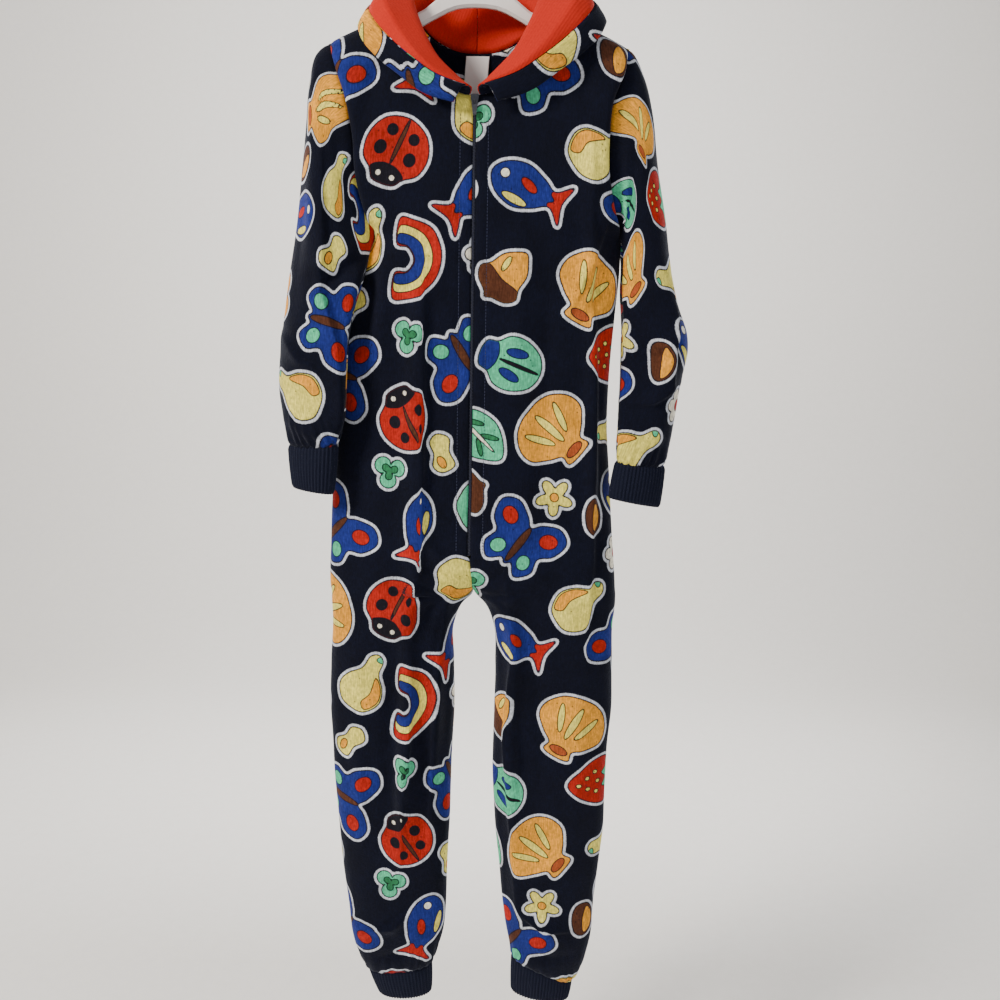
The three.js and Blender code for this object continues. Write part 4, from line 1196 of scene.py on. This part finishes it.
def body_panel(node, start, row_end, cut_from):
    """One front or back as a printed shell."""
    coarse, facing = cad_grid(node, FLEECE, start, row_end)
    grid = finer(coarse, SPACING)
    outward = 1 if row_end[0] > 0 else -1
    flat = places_from_line(grid, outward * PRINT_LINE)
    dip, from_edge = seam_dip(grid)
    normals = normals_of(grid, facing)
    x, z = grid[..., 0], grid[..., 2]
    folds = [fold(x, z, *row) for row in FOLDS[node]]
    offset = sum(made[0] for made in folds) + slack(flat, len(node) + ord(node[0]))
    offset = offset * np.clip(from_edge / FREE_OF_SEAM, 0, 1) + dip
    flat[..., 0] += outward * sum(made[1] for made in folds)
    offset += gathers(grid, flat)
    if node.startswith("front"):
        offset += zip_side(x, z)
    shaped = reached_under(grid + normals * offset[..., None], first=node.startswith("back"))
    if node.startswith("front"):
        shaped[..., 0] -= outward * closed_below_zip(shaped[..., 0], shaped[..., 2])
    piece = shell(node + "_fleece", shaped, facing, FLEECE, flat)
    store_print(piece, flat, cut_from)
    dress(piece, node, fleece)
    return piece, shaped


panels = {node: body_panel(node, *facts) for node, facts in PANELS.items()}
print("panels:", {node: len(piece.data.polygons) for node, (piece, _shaped) in panels.items()}, "faces")

# %% [markdown]
# The zip's tape is sewn down from the face with a line of lockstitch on each side.
# A real stitch is a short length of thread that dips into the cloth at both ends, so each is a bent rod.
# They could be a texture, but a raised thread catches the light, and as one joined mesh it costs little.
# They could be a texture, but a raised thread catches the light, and as one joined mesh it costs little.
# %% Small rods in a row
def rods(name, middles, directions, outward, length, radius, bend=0.0, sides=6):
    """One mesh of short rods with round ends, each bent so that its ends dip."""
    profile = [(-0.5, 0.25), (-0.42, 0.8), (0.0, 1.0), (0.42, 0.8), (0.5, 0.25)]
    turns = np.linspace(0, 2 * np.pi, sides, endpoint=False)
    across = np.cross(directions, outward)
    across /= np.linalg.norm(across, axis=1, keepdims=True)
    points, faces = [], []
    for middle, along, side in zip(middles, directions, across):
        up = np.cross(side, along)
        first = len(points)
        for place, size in profile:
            centre = middle + along * place * length - up * bend * (2 * place) ** 2
            points += [centre + radius * size * (math.cos(t) * side + math.sin(t) * up) for t in turns]
        for k in range(len(profile) - 1):
            for j in range(sides):
                a, b = first + k * sides + j, first + k * sides + (j + 1) % sides
                faces.append((a, b, b + sides, a + sides))
        faces.append(tuple(range(first + sides - 1, first - 1, -1)))
        last = first + (len(profile) - 1) * sides
        faces.append(tuple(range(last, last + sides)))
    return new_object(name, points, faces)


def along_path(path, pitch):
    """Even places on a path, and the path's direction at each."""
    steps = np.linalg.norm(np.diff(path, axis=0), axis=1)
    so_far = np.concatenate([[0], np.cumsum(steps)])
    at = np.arange(pitch / 2, so_far[-1], pitch)
    places = np.stack([np.interp(at, so_far, path[:, k]) for k in range(3)], axis=1)
    ahead = np.gradient(places, axis=0)
    return places, ahead / np.linalg.norm(ahead, axis=1, keepdims=True)


# %% Stitches beside the zip
STITCH = {"length": 2.5 * MM, "radius": 0.3 * MM, "pitch": 3.1 * MM, "proud": 0.15 * MM, "dip": 0.3 * MM}


def column_at(shaped, distance, top, bottom):
    """The line on a front that runs down at one distance from the middle."""
    line = []
    for row in shaped:
        order = np.argsort(np.abs(row[:, 0]))
        away = np.abs(row[order, 0])
        line.append([np.interp(distance, away, row[order, k]) for k in range(3)])
    line = np.array(line)
    return line[(line[:, 2] < top) & (line[:, 2] > bottom)]


for node in ("front_right", "front_left"):
    column = column_at(panels[node][1], STITCHED_AT, -0.182, ZIP_FOOT + 1 * MM)
    places, ahead = along_path(column, STITCH["pitch"])
    forward = np.tile([0.0, -1.0, 0.0], (len(places), 1))
    middles = places + forward * STITCH["proud"]
    name = node + "_zip_stitches"
    stitched = rods(name, middles, ahead, forward, STITCH["length"], STITCH["radius"], STITCH["dip"])
    stitched.data.materials.append(thread)
    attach(stitched, "garment")
    print(name, len(places), "stitches")

# %% [markdown]
# The closed coil is made in the same way: one short rod for each turn, side by side.
# The turns lean a little, and every other one sits to the other side, as two meshed coils do.

# %% Coil turns
COIL = {"pitch": 1.5 * MM, "radius": 0.62 * MM, "dip": 0.35 * MM, "lean": 0.18}
COIL_INWARD = 0.45 * MM
COIL_SWAY = 0.25 * MM
coil_points, _triangles = welded("zip_coil")
coil_front = []
for height in np.unique(np.round(coil_points[:, 2], 4)):
    ring = coil_points[np.abs(coil_points[:, 2] - height) < 0.0002]
    coil_front.append((ring[:, 0].mean(), ring[:, 1].min(), height))
coil_low, coil_high = (Vector(corner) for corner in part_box("zip_coil"))
coil_width = 0.94 * (coil_high.x - coil_low.x)
places, ahead = along_path(np.array(coil_front)[::-1], COIL["pitch"])
leaning = np.tile([1.0, 0.0, 0.0], (len(places), 1)) + COIL["lean"] * ahead
leaning /= np.linalg.norm(leaning, axis=1, keepdims=True)
places[:, 1] += COIL_INWARD
places[:, 0] += np.where(np.arange(len(places)) % 2, COIL_SWAY, -COIL_SWAY)
forward = np.tile([0.0, -1.0, 0.0], (len(places), 1))
shape = (coil_width, COIL["radius"], COIL["dip"])
coil_piece = rods("zip_coil_turns", places, leaning, forward, *shape, sides=8)
coil_piece.data.materials.append(coil)
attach(coil_piece, "garment")
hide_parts("zip_coil")
print("coil turns:", len(places))

# %% [markdown]
# A sleeve is cut flat and closed along one seam, which lies at the underarm.
# So its grid starts and ends there, and both edges turn in like those of the other pieces.

# %% Sleeves
# Each row: where the grid starts, at the underarm, and where on the print the sleeve was cut
SLEEVES = {
    "sleeve_right": ((-0.099, 0, -0.288), (0.17, 0.06)),
    "sleeve_left": ((0.142, 0, -0.288), (0.40, 0.33)),
}
SLEEVE_FOLDS = {
    "sleeve_right": [
        ([(-142, -200), (-140, -306), (-142, -347), (-126, -397), (-121, -480)], 3.6, 9, 1),
        ([(-160, -200), (-166, -300), (-170, -380)], -2.0, 9),
        ([(-184, -384), (-160, -410), (-128, -420)], 3.4, 8, 1),
        ([(-182, -432), (-156, -446), (-126, -452)], -2.4, 7),
        ([(-110, -306), (-130, -330), (-154, -336)], -3.2, 7),
        ([(-180, -468), (-160, -478), (-134, -482)], 1.8, 6),
    ],
    "sleeve_left": [
        ([(141, -190), (143, -256), (147, -333), (152, -400)], 4.0, 9, -1),
        ([(166, -190), (172, -280), (178, -350)], -2.0, 9),
        ([(191, -327), (197, -380), (194, -440)], 3.4, 8, 1),
        ([(206, -388), (180, -402), (150, -400)], -3.6, 8),
        ([(204, -428), (176, -446), (150, -448)], 3.2, 8, 1),
        ([(150, -316), (164, -330), (186, -326)], -2.0, 7),
        ([(192, -478), (170, -488), (150, -490)], 1.8, 6),
    ],
}


# The right sleeve's slack lies against the body under the arm: at one height, over a reach, by so much
UNDERARM_SLACK = {"height": -0.312, "reach": 0.042, "amount": 0.014}


def underarm_slack(shaped):
    """How far the inner half of the right sleeve moves towards the body."""
    x, z = shaped[..., 0], shaped[..., 2]
    middle = (x.max(axis=1) + x.min(axis=1))[:, None] / 2
    half = (x.max(axis=1) - x.min(axis=1))[:, None] / 2
    inner = np.clip((x - middle) / half, 0, 1)
    near = np.exp(-(((z - UNDERARM_SLACK["height"]) / UNDERARM_SLACK["reach"]) ** 2))
    return UNDERARM_SLACK["amount"] * near * inner


def sleeve(node, start, cut_from):
    """One sleeve as a printed shell."""
    coarse, facing = cad_grid(node, FLEECE, start, closed=True)
    grid = finer(coarse, SPACING, closed=True)
    flat = cloth_places(grid, level=1.0)
    dip, from_edge = seam_dip(grid, depth=1.1)
    normals = normals_of(grid, facing)
    x, z = grid[..., 0], grid[..., 2]
    offset = sum(fold(x, z, *row)[0] for row in SLEEVE_FOLDS[node]) + slack(flat, 5 + ord(node[-1]))
    offset = offset * np.clip(from_edge / FREE_OF_SEAM, 0, 1) + dip
    offset += gathers(grid, flat, depth=1.2)
    shaped = grid + normals * offset[..., None]
    if node == "sleeve_right":
        shaped[..., 0] += underarm_slack(shaped)
    shaped = reached_under(shaped, closed=True, by=2.0 * MM)
    piece = shell(node + "_fleece", shaped, facing, FLEECE, flat)
    store_print(piece, flat, cut_from)
    dress(piece, node, fleece)
    return piece, shaped


sleeves = {node: sleeve(node, *facts) for node, facts in SLEEVES.items()}
print("sleeves:", {node: len(piece.data.polygons) for node, (piece, _shaped) in sleeves.items()}, "faces")

# %% [markdown]
# Rib knit is a row of raised wales with deep furrows between them, and it is elastic.
# The ribs are real geometry here, because they show on the cuff's outline and at its rolled end.

# %% Cuffs
CUFFS = ["wrist_cuff_right", "wrist_cuff_left", "ankle_cuff_right", "ankle_cuff_left"]
RIB_PITCH = 3.4 * MM
RIB_DEPTH = 0.75 * MM
RIB_KNIT = 1.6 * MM
RIB_WALL = 1.95 * MM
RIB_SPACING = 0.75 * MM


def cuff(node):
    """One cuff with its ribs and its rolled ends."""
    low, high = (Vector(corner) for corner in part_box(node))
    start = ((low.x + high.x) / 2, (low.y + high.y) / 2 + 0.05, high.z)
    coarse, facing = cad_grid(node, RIB_WALL, start, closed=True)
    raised = np.linalg.norm(coarse - coarse.mean(axis=1, keepdims=True), axis=2).sum(axis=0)
    plain = coarse[:, 1::2] if raised[0::2].sum() > raised[1::2].sum() else coarse[:, 0::2]
    grid = finer(plain, RIB_SPACING, closed=True)
    if grid[0, 0, 2] < grid[-1, 0, 2]:
        grid, facing = grid[::-1], -facing
    flat = cloth_places(grid)
    around = flat[..., 0] - flat[:, :1, 0]
    turns = around / around[:, -1:]
    ribs = round(around[:, -1].mean() / RIB_PITCH)
    wave = np.cos(2 * math.pi * ribs * turns)
    normals = normals_of(grid, facing)
    rows = np.linspace(0, 1, grid.shape[0])[:, None]
    rolled = -1.2 * MM * (np.exp(-((1 - rows) / 0.05) ** 2) + np.exp(-(rows / 0.05) ** 2))
    swell = 0.5 * MM * np.sin(math.pi * rows)
    offset = 0.35 * MM + RIB_DEPTH * np.clip(wave + 0.25, -0.8, 1) + rolled + swell
    shaped = grid + normals * offset[..., None]
    piece = shell(node + "_rib_knit", shaped, facing, RIB_KNIT, flat)
    dress(piece, node, ribbing)
    print(f"{node}: {ribs} ribs")
    return piece, shaped


cuffs = {node: cuff(node) for node in CUFFS}

# %% [markdown]
# The hood has a printed shell, a red lining that shows when the hood lies back, and a printed facing
# along its free edge. The three are thin shells read from the frame in the same way.
# A hood half is curved both ways, so its place on the flat cloth comes from Blender's unwrapping.

# %% Hood
# Each layer: the one that it lies against, its thickness, material, slot and spacing
HOOD_LAYERS = {
    "outer": ("lining", FLEECE, fleece, "plush_fleece", 2.0 * MM),
    "facing": ("outer", 1.6 * MM, fleece, "plush_fleece", 2.0 * MM),
    "lining": ("outer", 1.1 * MM, jersey, "red_jersey", 2.2 * MM),
}
HOOD_CUT_FROM = {"right": (0.13, 0.21), "left": (0.33, 0.41)}


def laid_flat(grid):
    """Each point's place on the flat cloth, found by Blender's unwrapping and brought to real size."""
    rows, columns = grid.shape[:2]
    quads = quads_of(np.arange(rows * columns).reshape(rows, columns))
    pattern = new_object("laid_flat", grid.reshape(-1, 3).tolist(), quads.tolist())
    mesh = pattern.data
    mesh.uv_layers.new(name="flat")
    bpy.context.view_layer.objects.active = pattern
    bpy.ops.object.mode_set(mode="EDIT")
    bpy.ops.mesh.select_all(action="SELECT")
    bpy.ops.uv.unwrap(method="ANGLE_BASED", margin=0)
    bpy.ops.object.mode_set(mode="OBJECT")
    at_corner = np.empty(2 * len(mesh.loops))
    mesh.uv_layers["flat"].data.foreach_get("uv", at_corner)
    flat = np.zeros((rows * columns, 2))
    flat[point_at_corners(mesh)] = at_corner.reshape(-1, 2)
    a, b, c, d = (flat[quads[:, k]] for k in range(4))
    area = np.abs((c - a)[:, 0] * (d - b)[:, 1] - (c - a)[:, 1] * (d - b)[:, 0]).sum() / 2
    real = sum(face.area for face in mesh.polygons)
    bpy.data.objects.remove(pattern)
    flat = (flat - flat.mean(axis=0)).reshape(rows, columns, 2) * math.sqrt(real / area)
    down = (flat[-1] - flat[0]).mean(axis=0)
    turn = math.atan2(down[0], down[1])
    x, y, c, s = flat[..., 0], flat[..., 1], math.cos(turn), math.sin(turn)
    return np.stack([x * c - y * s, x * s + y * c], axis=2)


def neck_tape(grid, width=9.0, raised=0.7, groove=0.5):
    """The flat tape that covers the neck seam inside: a raised band with a stitched groove along it."""
    from_neck = lengths(grid, 1) / MM
    band = 1 / (1 + np.exp((from_neck - width) / 0.5))
    stitched = np.exp(-(((from_neck - width + 1.6) / 0.9) ** 2))
    return (raised * band - groove * stitched) * MM


def hood_piece(part, hand):
    """One layer of one half of the hood."""
    against, thickness, material, slot_name, spacing = HOOD_LAYERS[part]
    side = -1 if hand == "right" else 1
    node = f"hood_{part}_{hand}"
    start = (side * 0.012, -0.046, -0.166) if part == "facing" else (side * 0.003, -0.034, -0.166)
    row_end = (side * 0.014, -0.046, -0.172)
    coarse, facing = cad_grid(node, thickness, start, row_end, away_from=f"hood_{against}_{hand}")
    grid = finer(coarse, spacing)
    flat = laid_flat(grid)
    dip, from_edge = seam_dip(grid, depth=0.8, width=2.5)
    offset = slack(flat, 7 + side, 0.08) * np.clip(from_edge / (8 * MM), 0, 1) + dip
    if part == "lining":
        offset += neck_tape(grid)
    shaped = grid + normals_of(grid, facing) * offset[..., None]
    piece = shell(f"{node}_cloth", shaped, facing, thickness, flat)
    if part != "lining":
        store_print(piece, flat, HOOD_CUT_FROM[hand])
    dress(piece, node, material)
    return piece, shaped


hood = {(part, hand): hood_piece(part, hand) for hand in HOOD_CUT_FROM for part in HOOD_LAYERS}
print("hood:", {" ".join(key): len(piece.data.polygons) for key, (piece, _shaped) in hood.items()}, "faces")

# %% [markdown]
# The label hangs from the back neck seam. It is woven satin, left blank, with a slight curl.

# %% Label
LABEL_WALL = 0.9 * MM
SATIN = 0.5 * MM
label_grid, label_facing = cad_grid("neck_label", LABEL_WALL, (-0.0105, 0.02, -0.119), (0.012, 0.02, -0.119))
label_fine = finer(label_grid, 1.0 * MM)
label_flat = cloth_places(label_fine)
label_piece = shell("neck_label_satin", label_fine, label_facing, SATIN, label_flat)
dress(label_piece, "neck_label", satin)
print("label:", len(label_piece.data.polygons), "faces")

# %% [markdown]
# The hard pieces already have their own form in the frame, and so has the zip's plain tape.

# %% Zip tape, slider, pull tab and hanger keep their own forms
for node, material in (("zip_tape", tape), ("zip_slider", metal), ("zip_pull", metal), ("hanger", plastic)):
    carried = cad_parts[node]
    carried.data.materials.clear()
    carried.data.materials.append(material)

# %% [markdown]
# Each sheet's size, as it was cut and measured on the flat cloth, is printed.


def declare(piece, grid):
    """States a shell's flat size, measured along its own rows and columns."""
    width = float(lengths(grid, 1)[:, -1].mean())
    length = float(lengths(grid, 0)[-1].mean())
    across, down = np.diff(grid, axis=1)[:-1], np.diff(grid, axis=0)[:, :-1]
    area = float(np.linalg.norm(np.cross(across, down), axis=2).sum())
    print(f"{piece.name}: cut {width * 1000:.0f} x {length * 1000:.0f} mm, {area:.4f} square metres")
    min(area, width * length)


for piece, shaped in [*panels.values(), *sleeves.values(), *hood.values(), *cuffs.values()]:
    declare(piece, shaped)
declare(label_piece, label_fine)

# %% [markdown]
# The garment hangs before a pale sweep: a floor that curves up into a wall, as in a small studio.

# %% Floor and backdrop
FLOOR_Z = -1.32
SWEEP_Y = 2.3
SWEEP_FRONT = -3.0
SWEEP_TOP = 3.2
SWEEP_HALF = 4.0
SWEEP_RADIUS = 0.8
SWEEP_STEPS = 12


def sweep():
    """The floor, its upward curve and the wall as one sheet."""
    flat_end = SWEEP_Y - SWEEP_RADIUS
    profile = [(SWEEP_FRONT, FLOOR_Z), (flat_end, FLOOR_Z)]
    for k in range(1, SWEEP_STEPS + 1):
        angle = math.pi / 2 * k / SWEEP_STEPS
        along, up = math.sin(angle), 1 - math.cos(angle)
        profile.append((flat_end + SWEEP_RADIUS * along, FLOOR_Z + SWEEP_RADIUS * up))
    profile.append((SWEEP_Y, SWEEP_TOP))
    points = [(x, y, z) for y, z in profile for x in (-SWEEP_HALF, SWEEP_HALF)]
    faces = [(2 * k, 2 * k + 1, 2 * k + 3, 2 * k + 2) for k in range(len(profile) - 1)]
    return new_object("sweep", points, faces)


def painted_paper():
    made, tree = new_material("painted_plaster_pale")
    grain = add_node(tree, "ShaderNodeTexNoise", Vector=on_object(tree), Scale=60.0).outputs[0]
    finish_material(tree, Base_Color=two_tone(tree, grain, "#E9E6E1", "#EFECE8"), Roughness=0.9)
    return made


floor = sweep()
floor.data.materials.append(painted_paper())

# %% [markdown]
# The light is soft and comes from above and in front, with a little more from the left.


# %% Lights
def area_light(name, place, aim, size, power, colour="#FFFFFF"):
    """A round soft lamp that the camera doesn't see."""
    data = bpy.data.lights.new(name, "AREA")
    data.shape = "DISK"
    data.size = size
    data.energy = power
    data.color = linear(colour)[:3]
    lamp = bpy.data.objects.new(name, data)
    bpy.context.collection.objects.link(lamp)
    lamp.location = place
    lamp.rotation_euler = (Vector(aim) - Vector(place)).to_track_quat("-Z", "Y").to_euler()
    lamp.visible_camera = False
    return lamp


area_light("key", (-1.9, -1.5, 0.9), (0, 0, -0.5), 0.7, 88, "#FFF8F0")
area_light("fill", (1.9, -1.7, -0.2), (0, 0, -0.6), 1.4, 14, "#F2F6FF")
for name, x in (("back_left", 1.6), ("back_right", -1.6)):
    area_light(name, (x, 1.6, 0.2), (0, 0, -0.5), 1.2, 13).data.spread = math.radians(110)
area_light("wall_wash", (0, 0.9, 0.2), (0, 2.3, -0.3), 2.4, 34)
world = bpy.data.worlds.new("studio")
bpy.context.scene.world = world
world.use_nodes = True
world.node_tree.nodes["Background"].inputs[0].default_value = linear("#E9E7E4")
world.node_tree.nodes["Background"].inputs[1].default_value = 0.55
